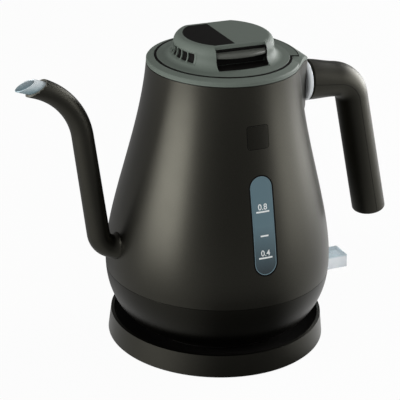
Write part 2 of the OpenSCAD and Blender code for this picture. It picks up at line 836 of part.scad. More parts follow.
module window_gasket() {
    color(BLACK)
        intersection() {
            body_shell(window_z0 - 5, window_z1 + 5, 0, vessel_inset + vessel_wall + 0.4);
            difference() {
                gauge_slot(gasket_w);
                gauge_slot(0);
            }
        }
}

// Spout

// Stands a shape drawn in the spout's own plane into place
module in_spout_plane() {
    rotate([90, 0, 180]) children();
}

// Places and headings along the spout, from inside the body to the tip of the cover
function spout_path(tail) =
    concat([[spout_start - [tail, 0], 0]],
           [for (i = [0 : foot_bend_steps]) let (a = foot_bend * i / foot_bend_steps)
               [foot_bend_c - foot_bend_r * left_of(a), a]],
           [for (i = [1 : neck_bend_steps]) let (a = foot_bend - neck_bend * (i - 1) / (neck_bend_steps - 1))
               [neck_bend_c + neck_bend_r * left_of(a), a]]);

// Length along a path up to each of its points
function run(path, i) = i == 0 ? 0 : run(path, i - 1) + norm(path[i][0] - path[i - 1][0]);

// Radius of the cover: a flare at the body, then an even taper to its slanted tip
function cover_radius(along, total) =
    cover_r + (cover_tip_r - cover_r) * max(along, 0) / total
    + (cover_flare_r - cover_r) * pow(max(0, 1 - max(along, 0) / cover_flare_len), 2);

module spout_cover() {
    path = spout_path(stub_len);
    last = len(path) - 1;
    total = run(path, last) - stub_len;
    stations = [for (i = [0 : last])
        let (r = cover_radius(run(path, i) - stub_len, total),
             tilt = (90 - cover_bevel) * max(0, 1 - (last - i) / 2))
        [path[i][0], path[i][1] + tilt, r / cos(tilt), r, cover_wall]];
    color(BROWN)
        difference() {
            in_spout_plane() sweep_shell(stations, 0, 360, cover_sides);
            body_solid(-seat_gap);
        }
}

module spout_tube() {
    tip_len = tip_top + 2 * tube_r / tan(tip_bevel);
    inner_x = body_r(spout_z) - tube_in;
    path = concat(spout_path(spout_x - inner_x), [[tip_start + tip_len * heading(tip_heading), tip_heading]]);
    stations = [for (p = path) [p[0], p[1], tube_r, tube_r, tube_wall]];
    color(STEEL)
        in_spout_plane()
            difference() {
                sweep_shell(stations, 0, 360, tube_sides);
                translate([each tip_start, 0]) rotate([0, 0, tip_heading])
                    translate([tip_top, tube_r, 0]) rotate([0, 0, -tip_bevel])
                        translate([0, 0, -3 * tube_r]) cube([9 * tube_r, 6 * tube_r, 6 * tube_r]);
            }
}

module spout_seal() {
    wall_x = body_r(spout_z) - vessel_inset;
    color(BLACK)
        translate([0, 0, spout_z])
            difference() {
                rod_x(-wall_x, -wall_x + seal_len, tube_r + seal_t);
                rod_x(-belly_r, 0, tube_r + seat_gap);
            }
}

// Handle

module in_handle_plane() {
    rotate([90, 0, 0]) children();
}

// Stations of the handle: the root and the end are nearly solid, the rest is a shell
function handle_stations() =
    let (a = grip_t / 2, b = grip_w / 2, solid = a - 0.6,
         root_in = arm_start + handle_root_t * heading(-arm_slope), part = handle_root_t / arm_len,
         mid_a = arm_root_r + (a - arm_root_r) * part, mid_b = arm_root_r + (b - arm_root_r) * part,
         end_in = grip_end - handle_end_t * heading(-grip_slope))
    concat([[arm_start + [seat_gap, 0], 0, arm_root_r, arm_root_r, solid],
            [root_in, -arm_slope, mid_a, mid_b, solid],
            [root_in + 0.5 * heading(-arm_slope), -arm_slope, mid_a, mid_b, handle_wall]],
           [for (i = [0 : elbow_steps]) let (h = -arm_slope - (grip_slope - arm_slope) * i / elbow_steps)
               [elbow_c + elbow_r * left_of(h), h, a, b, handle_wall]],
           [[end_in - 0.5 * heading(-grip_slope), -grip_slope, a, b, handle_wall],
            [end_in, -grip_slope, a, b, solid],
            [grip_end - 1.5 * heading(-grip_slope), -grip_slope, a, b, solid],
            [grip_end - 0.4 * heading(-grip_slope), -grip_slope, a - 0.5, b - 0.5, solid - 0.5],
            [grip_end, -grip_slope, a - 1.5, b - 1.5, solid - 1.5]]);

// Half of the handle, from angle a0 to a1 of its section
module handle_half(a0, a1) {
    steps = 14;
    difference() {
        in_handle_plane() sweep_shell(handle_stations(), a0 + split_angle, a1 - split_angle, steps);
        handle_screw_holes(screw_r + seat_gap);
    }
}

module handle_outer_shell() {
    color(BROWN) handle_half(0, 180);
}

module handle_inner_shell() {
    color(BROWN) handle_half(180, 360);
}

module handle_collar() {
    color(SILVER)
        difference() {
            translate([0, 0, arm_z]) rod_x(fin_x + seat_gap, arm_x - seat_gap, arm_root_r + 0.3);
            handle_screw_holes(screw_r + 0.2);
        }
}

module handle_screws() {
    head_x = body_r(arm_z) - body_wall + 2 - seat_gap;
    color(STEEL)
        for (s = [-1, 1])
            translate([head_x, 0, arm_z + s * handle_screw_d]) rotate([0, 90, 0]) screw(handle_screw_len);
}

// Lid

// Rounded shoulder of the raised middle, pushed in by t
function puck_shoulder(t) =
    [for (i = [0 : round_steps]) let (a = 90 * i / round_steps)
        [puck_top_r + (puck_r - puck_top_r - t) * cos(a), puck_z - shoulder_h + (shoulder_h - t) * sin(a)]];

module lid_solid() {
    rotate_extrude()
        polygon(concat([[0, lid_under], [lid_r, lid_under], [lid_r, lid_z - 0.4], [lid_r - 0.6, lid_z],
                        [puck_r + flare_w, flare_foot_z]],
                       [for (i = [1 : round_steps - 1]) let (a = 90 * i / round_steps)
                           [puck_r + flare_w * (1 - sin(a)), flare_foot_z + flare_h * (1 - cos(a))]],
                       puck_shoulder(0), [[0, puck_z]]));
}

// Hollow of the lid, open below
module lid_hollow() {
    rotate_extrude()
        polygon(concat([[0, lid_under - 1], [puck_r - 0.4, lid_under - 1],
                        [puck_r - lid_wall, flare_foot_z + flare_h * 0.8]],
                       puck_shoulder(lid_wall), [[0, puck_z - lid_wall]]));
}

// Space of the finger recess on the -Y side, with a liner of thickness t round it
module recess(t) {
    box([-recess_half_w - t, -puck_r - flare_w * 0.45, recess_floor_z - t],
        [recess_half_w + t, -recess_d + t, puck_z + 5]);
}

module button_opening() {
    box([-recess_half_w, -recess_d - 1, button_z0 - slide_gap],
        [recess_half_w, -recess_d + lid_wall + 1, button_z1 + slide_gap]);
}

module vent_window(grow) {
    half = vent_pitch * vent_count / 2 + vent_frame;
    rotate([0, 0, 180])
        sector(half + grow, puck_r - 8, puck_r + flare_w, vent_z[0] - grow, vent_z[1] + grow);
}

// Places of the four posts that take the lid's screws
module at_lid_posts(z) {
    for (x = [-1, 1], y = [-1, 1])
        translate([x * lid_post_at[0], y * lid_post_at[1], z]) children();
}

module lid_shell() {
    post_z = plug_z + plug_t + seat_gap;
    color(GREY_GREEN)
        difference() {
            union() {
                difference() {
                    lid_solid();
                    difference() {
                        lid_hollow();
                        for (s = [0, 180]) rotate([0, 0, s]) recess(lid_wall);
                    }
                }
                at_lid_posts(post_z) cylinder(h = puck_z - lid_wall / 2 - post_z, r = lid_post_r);
                intersection() {
                    sector(tab_angle, lid_r - 2, lid_r + tab_w, lid_under, lid_z);
                    rotate_extrude()
                        polygon([[0, lid_under], [lid_r + tab_w, lid_under], [lid_r + tab_w, lid_z - 0.6],
                                 [lid_r + tab_w - 0.6, lid_z], [0, lid_z]]);
                }
            }
            for (s = [0, 180])
                rotate([0, 0, s]) {
                    recess(0);
                    button_opening();
                }
            vent_window(0.15);
            at_lid_posts(plug_z) cylinder(h = lid_screw_len + 3, r = screw_r + seat_gap);
        }
}

module vent_grille() {
    color(GREY_GREEN)
        difference() {
            intersection() {
                vent_window(0);
                difference() {
                    lid_solid();
                    lid_hollow();
                }
            }
            for (i = [0 : vent_count - 1])
                rotate([0, 0, 180 + (i - (vent_count - 1) / 2) * vent_pitch])
                    sector(vent_slot / 2, puck_r - 9, puck_r + flare_w + 2,
                           vent_z[0] + vent_bars, vent_z[1] - vent_bars);
        }
}

module lid_plug() {
    steam_hole_r = 2;
    wall_top = lid_under - seat_gap;
    color("#6d726e")
        difference() {
            union() {
                rotate_extrude()
                    polygon([[0, plug_z], [plug_r - 0.8, plug_z], [plug_r, plug_z + 0.8],
                             [plug_r, plug_z + plug_t], [plug_r - 1.2, plug_z + plug_t],
                             [plug_r - 1.2, gasket_z + gasket_h + seat_gap],
                             [plug_r, gasket_z + gasket_h + seat_gap], [plug_r, wall_top],
                             [plug_r - plug_wall - 1.2, wall_top],
                             [plug_r - plug_wall - 1.2, plug_z + plug_t], [0, plug_z + plug_t]]);
                box([-rib_half_w, -rib_t / 2, plug_z + plug_t - 0.1], [rib_half_w, rib_t / 2, rib_z1]);
            }
            for (s = [-1, 1])
                box([-claw_half_w - slide_gap, s > 0 ? plug_r / 2 : -plug_r - 1, claw_z - slide_gap],
                    [claw_half_w + slide_gap, s > 0 ? plug_r + 1 : -plug_r / 2, wall_top + 1]);
            for (i = [-2 : 2])
                rotate([0, 0, 180 + i * 14]) translate([plug_r * 0.8, 0, plug_z - 1])
                    cylinder(h = plug_t + 2, r = steam_hole_r);
            at_lid_posts(plug_z - 1) cylinder(h = plug_t + 2, r = screw_r + 0.2);
        }
}

module lid_gasket() {
    reach = lid_gap - 0.4;
    color("#b9bdb8")
        translate([0, 0, gasket_z + seat_gap])
            rotate_extrude()
                polygon([[plug_r - 1.1, 0], [plug_r + reach, 0], [plug_r + reach + 0.6, 0.8],
                         [plug_r + reach, gasket_h - 1.2], [plug_r, gasket_h - seat_gap],
                         [plug_r - 1.1, gasket_h - seat_gap]]);
}

module lid_screws() {
    color(STEEL) at_lid_posts(plug_z) screw(lid_screw_len);
}

// Pinch button of the -Y side: a rounded bar, its stem and a claw under the shoulder ring
module pinch_button() {
    face_d = recess_d + 0.6;
    nose_z = button_z1 - 3.2;
    nose_back_r = button_arc_r - 12;
    stem_half_w = 6;
    stem_t = recess_d - lid_wall - slide_gap / 2 - button_back_d;
    round_r = 1.8;
    color(BLACK) {
        box([-button_half_w, -face_d, button_z0], [button_half_w, -button_back_d, nose_z + 0.1]);
        intersection() {
            translate([0, button_arc_r - button_front_d, 0])
                rotate_extrude()
                    polygon(concat([[nose_back_r, nose_z], [button_arc_r - 0.6, nose_z]],
                                   [for (i = [0 : 5]) let (a = 90 * i / 5)
                                       [button_arc_r - round_r * (1 - cos(a)),
                                        button_z1 - round_r * (1 - sin(a))]],
                                   [[nose_back_r, button_z1]]));
            box([-button_half_w, -button_front_d - 1, button_z0], [button_half_w, -button_back_d, button_z1]);
        }
        box([-stem_half_w, -button_back_d - stem_t, claw_z], [stem_half_w, -button_back_d, button_z0 + 0.1]);
        difference() {
            box([-claw_half_w, -claw_reach, claw_z], [claw_half_w, -button_back_d, claw_z + claw_t]);
            translate([0, 0, claw_z - 1])
                difference() {
                    cylinder(h = claw_t + 2, r = 2 * mouth_r);
                    translate([0, 0, -1]) cylinder(h = claw_t + 4, r = claw_reach);
                }
        }
    }
}

module near_button() {
    pinch_button();
}

module far_button() {
    rotate([0, 0, 180]) pinch_button();
}

// Coil spring between the lid's middle rib and the back of a button, along -Y
module button_spring() {
    y0 = -button_back_d + spring_wire_r + 0.1;
    y1 = -rib_t / 2 - spring_wire_r - 0.1;
    per_turn = 10;
    sides = 6;
    rings = spring_turns * per_turn;
    slope = atan2(abs(y1 - y0) / spring_turns, 2 * PI * spring_r);
    points = [for (i = [0 : rings], k = [0 : sides - 1])
        let (a = 360 * i / per_turn, b = 360 * k / sides,
             out = [cos(a), 0, sin(a)], along = [-sin(a) * cos(slope), sin(slope), cos(a) * cos(slope)],
             side = cross(along, out))
        [0, y0 + (y1 - y0) * i / rings, spring_z] + spring_r * out
            + spring_wire_r * (cos(b) * out + sin(b) * side)];
    faces = concat([[for (k = [0 : sides - 1]) k]],
                   [for (i = [0 : rings - 1], k = [0 : sides - 1])
                       let (a = i * sides + k, b = i * sides + (k + 1) % sides)
                       each [[a, a + sides, b], [b, a + sides, b + sides]]],
                   [[for (k = [sides - 1 : -1 : 0]) rings * sides + k]]);
    color(STEEL) polyhedron(points, faces);
}

module near_spring() {
    button_spring();
}

module far_spring() {
    rotate([0, 0, 180]) button_spring();
}

base_shell();
base_tray();
base_plate();
base_connector();
base_contacts();
rubber_feet();
base_screws();
cord_gland();
kettle_connector();
lower_cover();
cover_screws();
outer_body();
inner_vessel();
vessel_seal();
shoulder_ring();
gauge_window();
window_gasket();
spout_cover();
spout_tube();
spout_seal();
handle_collar();
handle_outer_shell();
handle_inner_shell();
handle_screws();
heater_plate();
heating_element();
control_unit();
indicator_lamp();
lever_pin();
steam_tube();
power_lever();
lid_shell();
vent_grille();
lid_plug();
lid_gasket();
lid_screws();
near_button();
far_button();
near_spring();
far_spring();
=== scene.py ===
"""Looks of the gooseneck electric kettle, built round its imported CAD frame.

Metres, in the CAD frame: +Z up from the floor, +X towards the handle, -X towards the spout and
-Y towards the water gauge. Heights and radii repeat those of the part's source.
"""

import math

import bmesh
import bpy
from mathutils import Matrix, Vector


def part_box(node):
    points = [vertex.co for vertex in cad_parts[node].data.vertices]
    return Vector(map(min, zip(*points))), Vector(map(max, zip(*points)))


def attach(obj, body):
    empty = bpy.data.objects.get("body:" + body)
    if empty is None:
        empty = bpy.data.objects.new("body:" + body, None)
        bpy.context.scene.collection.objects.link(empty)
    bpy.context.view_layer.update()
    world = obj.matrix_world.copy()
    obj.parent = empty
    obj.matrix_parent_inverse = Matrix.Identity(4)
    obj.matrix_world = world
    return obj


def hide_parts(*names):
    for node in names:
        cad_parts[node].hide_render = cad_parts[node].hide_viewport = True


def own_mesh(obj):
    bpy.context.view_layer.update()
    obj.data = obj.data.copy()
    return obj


bl_info = {
    "name": "Gooseneck kettle looks",
    "version": (1, 0, 0),
    "blender": (4, 5, 0),
    "location": "View3D > Sidebar > Kettle",
    "description": "Models the outer pieces and finishes of an electric gooseneck kettle",
    "category": "Object",
}

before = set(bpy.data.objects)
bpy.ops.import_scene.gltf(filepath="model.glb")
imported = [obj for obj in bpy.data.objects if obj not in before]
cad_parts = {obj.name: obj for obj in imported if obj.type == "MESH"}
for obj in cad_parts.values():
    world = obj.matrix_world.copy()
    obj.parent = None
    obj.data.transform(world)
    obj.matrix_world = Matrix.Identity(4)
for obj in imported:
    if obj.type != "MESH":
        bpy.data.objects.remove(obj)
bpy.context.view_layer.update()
MM = 0.001
TURN = 2 * math.pi
SHARP = math.radians(35)
FINE_STEPS = 192


# Properties

def number(name, value, description, **more):
    """A number that a user would change."""
    return bpy.props.FloatProperty(name=name, description=description, default=value, **more)


def length(name, millimetres, description):
    """A size, given in millimetres and kept in metres."""
    return number(name, millimetres * MM, description, unit="LENGTH", precision=5)


def angle(name, degrees, description):
    """An angle, given in degrees and kept in radians."""
    return number(name, math.radians(degrees), description, subtype="ANGLE")


def power(name, watts, description):
    """Power of a light."""
    return number(name, watts, description, subtype="POWER")


def colour(name, red, green, blue, description):
    """A colour given as it would be picked on screen, from 0 to 255."""
    return bpy.props.FloatVectorProperty(
        name=name, description=description, subtype="COLOR", size=3, min=0.0, max=1.0,
        default=[to_linear(part / 255) for part in (red, green, blue)])


def to_linear(part):
    """A screen value from 0 to 1 as a light level."""
    return part / 12.92 if part <= 0.04045 else ((part + 0.055) / 1.055) ** 2.4


class KettleBodySizes(bpy.types.PropertyGroup):
    """Sizes of the power base and the body."""

    base_r: length("Base radius", 74.6, "Radius of the power base at its foot")
    base_draft: length("Base draft", 1.7, "How much narrower the base is at its rim")
    base_h: length("Base height", 16.5, "Height of the base's rim")
    base_wall: length("Base wall", 2.2, "Wall of the base's shell")
    belly_r: length("Belly radius", 76.85, "Largest radius of the body")
    belly_z: length("Belly height", 57, "Height of the largest radius")
    neck_r: length("Neck radius", 50.7, "Radius of the body at its top seam")
    neck_z: length("Neck height", 196.2, "Height of the top seam")
    foot_r: length("Foot radius", 52, "Radius of the flat underside")
    foot_z: length("Foot height", 12.5, "Height of the underside")
    seam_z: length("Seam height", 51.9, "Height of the seam over the lower cup")
    body_wall: length("Body wall", 2.2, "Wall of the body and the lower cup")
    window_w: length("Window width", 15.5, "Width of the gauge window")
    window_z0: length("Window foot", 74.8, "Height of the window's lower end")
    window_z1: length("Window top", 138.5, "Height of the window's upper end")
    frame_w: length("Window frame", 0.9, "Width of the gasket round the window")


class KettleLidSizes(bpy.types.PropertyGroup):
    """Sizes of the shoulder ring and the lid."""

    mouth_r: length("Mouth radius", 45.5, "Radius of the ring's opening")
    ring_z: length("Ring height", 200.9, "Height of the ring's top")
    lid_r: length("Lid radius", 44.5, "Radius of the lid's disc")
    lid_z: length("Lid height", 201.3, "Height of the lid's disc")
    puck_r: length("Waist radius", 33.1, "Radius of the raised middle at its waist")
    puck_z: length("Lid top", 216, "Height of the raised middle")
    shoulder_w: length("Shoulder width", 4.8, "Width of the middle's rounded shoulder")
    flare_w: length("Flare width", 6.8, "Width of the concave flare")
    flare_h: length("Flare height", 6.4, "Height of the concave flare")
    lid_wall: length("Lid wall", 2.2, "Wall of the lid")
    recess_half_w: length("Recess half width", 18, "Half width of a finger recess")
    recess_d: length("Recess back", 24, "Distance from the axis to the back of a recess")
    vent_z0: length("Vent foot", 203.7, "Height of the grille's lower edge")
    vent_z1: length("Vent top", 210.7, "Height of the grille's upper edge")
    vent_pitch: angle("Vent pitch", 10.5, "Angle from one steam slot to the next")
    vent_count: bpy.props.IntProperty(name="Vent slots", description="Number of steam slots", default=6)
    tab_angle: angle("Tab angle", 22, "Angle to each side that the lid's tab covers")


class KettleArmSizes(bpy.types.PropertyGroup):
    """Sizes of the spout, the handle and the lever."""

    spout_z: length("Spout foot", 75.5, "Height where the spout leaves the body")
    spout_lean: angle("Spout lean", 8.7, "Outward lean of the straight stretch")
    spout_straight: length("Spout straight", 71.5, "Length of the straight stretch")
    foot_bend_r: length("Foot bend", 13.5, "Radius of the bend at the spout's foot")
    neck_bend_r: length("Neck bend", 46.2, "Radius of the gooseneck")
    neck_bend: angle("Neck angle", 62.5, "Angle of the gooseneck")
    sleeve_r: length("Sleeve radius", 7.8, "Radius of the spout's sleeve at its foot")
    sleeve_tip_r: length("Sleeve tip", 6.9, "Radius of the sleeve at its tip")
    sleeve_flare_r: length("Sleeve flare", 9.5, "Radius of the sleeve where it meets the body")
    pipe_r: length("Pipe radius", 5.2, "Radius of the steel pipe")
    tip_top: length("Tip length", 3, "Length of pipe that shows along its upper side")
    tip_bevel: angle("Tip bevel", 46, "Angle between the pipe and its slanted mouth")
    sleeve_bevel: angle("Sleeve bevel", 54, "Angle between the sleeve and its slanted end")
    arm_x: length("Arm start", 62.48, "Distance from the axis to the handle's end face")
    arm_z: length("Arm height", 175.3, "Height of the arm at its root")
    arm_len: length("Arm length", 21.4, "Length of the arm up to the elbow")
    arm_slope: angle("Arm slope", 5, "Downward slope of the arm")
    elbow_r: length("Elbow radius", 17, "Radius of the elbow")
    grip_slope: angle("Grip slope", 77.4, "Slope of the grip")
    grip_len: length("Grip length", 88.4, "Length of the grip")
    grip_t: length("Grip thickness", 22.6, "Thickness of the grip from the side")
    grip_w: length("Grip width", 26, "Width of the grip across the hand")
    arm_root_r: length("Arm root", 13, "Radius of the arm at the collar")
    root_rise: length("Root rise", 2.0, "How much the handle's root stands above its round")
    fin_half_w: length("Fin half width", 9, "Half width of the body's fin at the collar")
    spur_drop: length("Spur drop", 2.8, "How far the spur droops towards the collar")
    collar_t: length("Collar", 4.5, "Thickness of the silver collar")
    lever_w: length("Lever width", 16, "Width of the power lever")
    lever_x: length("Lever tip", 99, "Distance from the axis to the lever's tip")
    lever_z: length("Lever foot", 33, "Height of the lever's underside")
    lever_tip_t: length("Lever tip height", 9.4, "Thickness of the lever at its tip")


class KettleFinishes(bpy.types.PropertyGroup):
    """Colours of the kettle."""

    brown: colour("Brown", 59, 58, 53, "Metallic brown of the body, base, spout and handle")
    brown_light: colour("Brown flake", 65, 64, 58, "Lighter flakes in the brown")
    green: colour("Grey green", 90, 98, 91, "Moulded plastic of the lid and the ring")
    green_light: colour("Grey green grain", 98, 106, 99, "Raised grain of the plastic")
    # Black also paints shade: it lines the finger recesses, the grille's back and the badge's rim.
    black: colour("Black", 14, 13, 12, "Dish, button feet, linings and gaps")
    black_light: colour("Black grain", 22, 21, 20, "Raised grain of the black plastic")
    steel: colour("Steel", 218, 226, 230, "Vessel, springs and screws")
    steel_light: colour("Steel grain", 230, 236, 239, "Brushed lines of the steel")
    # Silver also serves as a painted highlight on the upper side of the pipe's tip.
    silver: colour("Silver", 236, 241, 244, "Collar of the handle, upper side of the tip")
    # Painted light: a lighter grey stands for the black buttons' noses catching light.
    bar: colour("Bar", 80, 82, 77, "Noses of the pinch buttons")
    smoke: colour("Smoked window", 42, 52, 57, "Gauge window at its foot")
    smoke_light: colour("Smoked window top", 93, 116, 125, "Gauge window at its top")
    clear: colour("Clear plastic", 244, 248, 251, "Power lever")
    # Painted shade: the lever's upper side is darker than its front.
    clear_top_shade: colour("Clear plastic top", 186, 206, 214, "Upper side of the power lever")
    # Painted shade on the lower side of the pipe's tip.
    tip_low: colour("Tip shade", 136, 160, 168, "Lower side of the pouring pipe's tip")
    ink: colour("Marks", 232, 236, 236, "Lines and numbers of the gauge")


class KettleStage(bpy.types.PropertyGroup):
    """Camera and light of the studio."""

    azimuth: angle("Azimuth", -25.6, "Turn of the camera round the kettle")
    distance: number("Distance", 1.0555, "Level distance of the camera", unit="LENGTH")
    height: number("Height", 0.5591, "Height of the camera", unit="LENGTH")
    pitch: angle("Pitch", 23.656, "How far the camera looks down")
    yaw: angle("Yaw", -0.692, "How far the camera looks to the side")
    roll: angle("Roll", 1.479, "Roll of the camera")
    lens: number("Lens", 152.44, "Focal length on a 36 mm sensor", subtype="DISTANCE_CAMERA")
    ambient: number("Ambient", 0.2, "Strength of the world")
    floor_white: number("Floor white", 0.96, "White that the camera sees over the floor's shadow")
    # Painted reflection of the floor in metal: painted shade close before the kettle, paler at its sides.
    sheen_near: number("Near sheen", 0.1, "Floor as metal sees it, close before the kettle")
    sheen_front: number("Front sheen", 0.36, "Floor as metal sees it, farther before the kettle")
    sheen_left: number("Left sheen", 0.62, "Floor as metal sees it, on the spout's side")
    sheen_right: number("Right sheen", 1.0, "Floor as metal sees it, on the handle's side")
    left_power: power("Left power", 14.0, "Power of the light on the spout's side")
    right_power: power("Right power", 21.5, "Power of the light on the handle's side")
    front_power: power("Front power", 5.5, "Power of the weaker light before the handle's")
    fill_power: power("Fill power", 8.0, "Power of the light over the camera")


# Modelling

def deselect():
    """Leaves edit mode and selects nothing."""
    if bpy.context.object and bpy.context.object.mode != "OBJECT":
        bpy.ops.object.mode_set(mode="OBJECT")
    bpy.ops.object.select_all(action="DESELECT")


def make_active(obj):
    """Selects one object alone."""
    deselect()
    obj.select_set(True)
    bpy.context.view_layer.objects.active = obj


def edit(obj):
    """Opens one object in edit mode with everything selected."""
    make_active(obj)
    bpy.ops.object.mode_set(mode="EDIT")
    bpy.ops.mesh.select_all(action="SELECT")


def added(name, operator, **settings):
    """Adds an object through an operator and names it."""
    deselect()
    operator(**settings)
    obj = bpy.context.object
    obj.name = obj.data.name = name
    return obj


def settle(obj):
    """Puts the object's place and turn into its mesh."""
    make_active(obj)
    bpy.ops.object.transform_apply(location=True, rotation=True, scale=True)
    return obj


def extrude(step):
    """Extrudes what is selected by a vector."""
    bpy.ops.mesh.extrude_region_move(TRANSFORM_OT_translate={"value": step})


def drawn(name, points):
    """Starts from one vertex, extrudes it along the points and closes the loop."""
    obj = added(name, bpy.ops.mesh.primitive_plane_add, size=MM)
    edit(obj)
    bpy.ops.mesh.merge(type="CENTER")
    bpy.ops.transform.translate(value=points[0])
    for here, there in zip(points, points[1:]):
        extrude(Vector(there) - Vector(here))
    bpy.ops.mesh.select_all(action="DESELECT")
    mesh = bmesh.from_edit_mesh(obj.data)
    for vert in mesh.verts:
        if len(vert.link_edges) == 1:
            vert.select_set(True)
    bmesh.update_edit_mesh(obj.data)
    bpy.ops.mesh.edge_face_add()
    bpy.ops.mesh.select_all(action="SELECT")
    return obj


def clean(obj):
    """Merges doubles and turns the faces outwards."""
    bpy.ops.mesh.select_all(action="SELECT")
    bpy.ops.mesh.remove_doubles(threshold=0.002 * MM)
    bpy.ops.mesh.normals_make_consistent(inside=False)
    bpy.ops.object.mode_set(mode="OBJECT")
    return obj


def spun(name, outline, steps=160, sweep=TURN, start=0.0):
    """Spins an outline of [radius, height] points round the kettle's axis."""
    obj = drawn(name, [(r, 0, z) for r, z in outline])
    bpy.ops.mesh.spin(steps=steps, angle=-sweep, center=(0, 0, 0), axis=(0, 0, 1))
    if sweep < TURN:
        bpy.ops.mesh.select_all(action="SELECT")
        bpy.ops.transform.rotate(value=-start, orient_axis="Z", center_override=(0, 0, 0))
        for facing in (start, start + sweep):
            close_side(obj, facing)
    return clean(obj)


def close_side(obj, facing):
    """Fills one flat end of an outline that was spun part of the way."""
    along, across = ahead(facing).to_3d(), left(facing).to_3d()
    bpy.ops.mesh.select_all(action="DESELECT")
    mesh = bmesh.from_edit_mesh(obj.data)
    for edge in mesh.edges:
        if edge.is_boundary and all(abs(v.co.dot(across)) < 0.01 * MM < v.co.dot(along) for v in edge.verts):
            edge.select_set(True)
    bmesh.update_edit_mesh(obj.data)
    bpy.ops.mesh.edge_face_add()


def ring_part(name, radii, heights, middle=0.0, half=math.pi, steps=32):
    """Stretch of a ring with a square section, to both sides of an angle."""
    (r0, r1), (z0, z1) = radii, heights
    return spun(name, [(r0, z0), (r1, z0), (r1, z1), (r0, z1)], steps, 2 * half, middle - half)


def spun_x(name, outline, z, steps=96):
    """Spins an outline of [x, radius] points round a level axis at height z."""
    obj = drawn(name, [(x, 0, z + r) for x, r in outline])
    bpy.ops.mesh.spin(steps=steps, angle=TURN, center=(0, 0, z), axis=(1, 0, 0))
    return clean(obj)


def prism(name, points, push):
    """Closed outline of points, filled and pushed out along a vector."""
    obj = drawn(name, points)
    bpy.ops.mesh.edge_face_add()
    extrude(push)
    return clean(obj)


def block(name, low, high):
    """Box between two corners."""
    centre = [(a + b) / 2 for a, b in zip(low, high)]
    return settle(added(name, bpy.ops.mesh.primitive_cube_add, size=1, location=centre,
                        scale=[b - a for a, b in zip(low, high)]))


def side_block(name, turn, half_w, distances, heights):
    """Box on the near (-1) or far (1) side of the axis, between two distances from it."""
    low, high = sorted(turn * d for d in distances)
    return block(name, (-half_w, low, heights[0]), (half_w, high, heights[1]))


def rod(name, start, end, radius, sides=48):
    """Round bar between two points."""
    way = Vector(end) - Vector(start)
    return settle(added(
        name, bpy.ops.mesh.primitive_cylinder_add, vertices=sides, radius=radius, depth=way.length,
        location=(Vector(start) + Vector(end)) / 2, rotation=way.to_track_quat("Z", "Y").to_euler()))


def tube(name, stations, sides=64, capped=False):
    """Extrudes a ring through stations of [x, z, heading, half thickness, half width] in the XZ plane."""
    x, z, heading, half_t, half_w = stations[0]
    obj = settle(added(name, bpy.ops.mesh.primitive_circle_add, vertices=sides, radius=1,
                       rotation=(0, math.pi / 2, 0)))
    edit(obj)
    bpy.ops.transform.resize(value=(half_t, half_w, half_t), center_override=(0, 0, 0))
    bpy.ops.transform.rotate(value=heading, orient_axis="Y", center_override=(0, 0, 0))
    bpy.ops.transform.translate(value=(x, 0, z))
    if capped:
        bpy.ops.mesh.edge_face_add()
    for here, there in zip(stations, stations[1:]):
        centre = (there[0], 0, there[1])
        grow_t, grow_w = there[3] / here[3], there[4] / here[4]
        extrude((there[0] - here[0], 0, there[1] - here[1]))
        bpy.ops.transform.rotate(value=there[2] - here[2], orient_axis="Y", center_override=centre)
        bpy.ops.transform.resize(value=(grow_t, grow_w, grow_t), center_override=centre)
    if capped:
        bpy.ops.mesh.edge_face_add()
    return clean(obj)


def cut_away(obj, point, facing, fill=False):
    """Cuts off what lies beyond a plane."""
    edit(obj)
    bpy.ops.mesh.bisect(plane_co=point, plane_no=facing, use_fill=fill, clear_outer=True)
    bpy.ops.object.mode_set(mode="OBJECT")


def slant_end(obj, middle, heading, bevel):
    """Cuts a tube that heads to -X at a slant through a point [x, z], with its lower lip in front."""
    facing = heading - (math.pi / 2 - bevel)
    cut_away(obj, (middle[0], 0, middle[1]), (math.cos(facing), 0, math.sin(facing)))


def apply_modifier(obj, kind, **settings):
    """Adds a modifier, sets it and applies it."""
    make_active(obj)
    modifier = obj.modifiers.new(kind.title(), kind)
    for key, value in settings.items():
        setattr(modifier, key, value)
    bpy.ops.object.modifier_apply(modifier=modifier.name)
    return obj


def combine(obj, other, operation="DIFFERENCE"):
    """Cuts, joins or crosses obj with another shape, which is then deleted."""
    before = len(obj.data.vertices)
    apply_modifier(obj, "BOOLEAN", operation=operation, object=other, solver="MANIFOLD")
    if len(obj.data.vertices) in (0, before):
        raise RuntimeError(f"{other.name} left no trace on {obj.name}")
    bpy.data.objects.remove(other)
    return obj


def soften(obj, millimetres, segments=3):
    """Rounds the sharp edges."""
    return apply_modifier(
        obj, "BEVEL", width=millimetres * MM, segments=segments, limit_method="ANGLE", angle_limit=SHARP,
        harden_normals=False, miter_outer="MITER_ARC")


def drop_empty(obj):
    """Removes the faces without area that a bevel leaves where it has no room."""
    edit(obj)
    bpy.ops.mesh.dissolve_degenerate(threshold=0.004 * MM)
    return clean(obj)


def thicken(obj, millimetres):
    """Gives an open surface a wall on its inner side."""
    return apply_modifier(obj, "SOLIDIFY", thickness=millimetres * MM, offset=-1, use_even_offset=True)


def lay_on(obj, target, lift):
    """Presses a flat piece along +Y onto another and makes it a thin plate, lifted a little."""
    apply_modifier(obj, "SHRINKWRAP", target=target, wrap_method="PROJECT", use_project_y=True,
                   use_project_z=False, use_project_x=False, use_positive_direction=True,
                   use_negative_direction=False, offset=lift)
    return apply_modifier(obj, "SOLIDIFY", thickness=0.1 * MM, offset=-1)


def dress(obj, body, material, stands_for=()):
    """Smooths a finished piece, gives it its material and fixes it to its body."""
    settle(obj)
    bpy.ops.object.shade_smooth_by_angle(angle=SHARP)
    apply_modifier(obj, "WEIGHTED_NORMAL", keep_sharp=True)
    obj.data.materials.clear()
    obj.data.materials.append(material)
    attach(obj, body)
    if stands_for:
        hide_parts(*stands_for)
    return obj


# Outlines

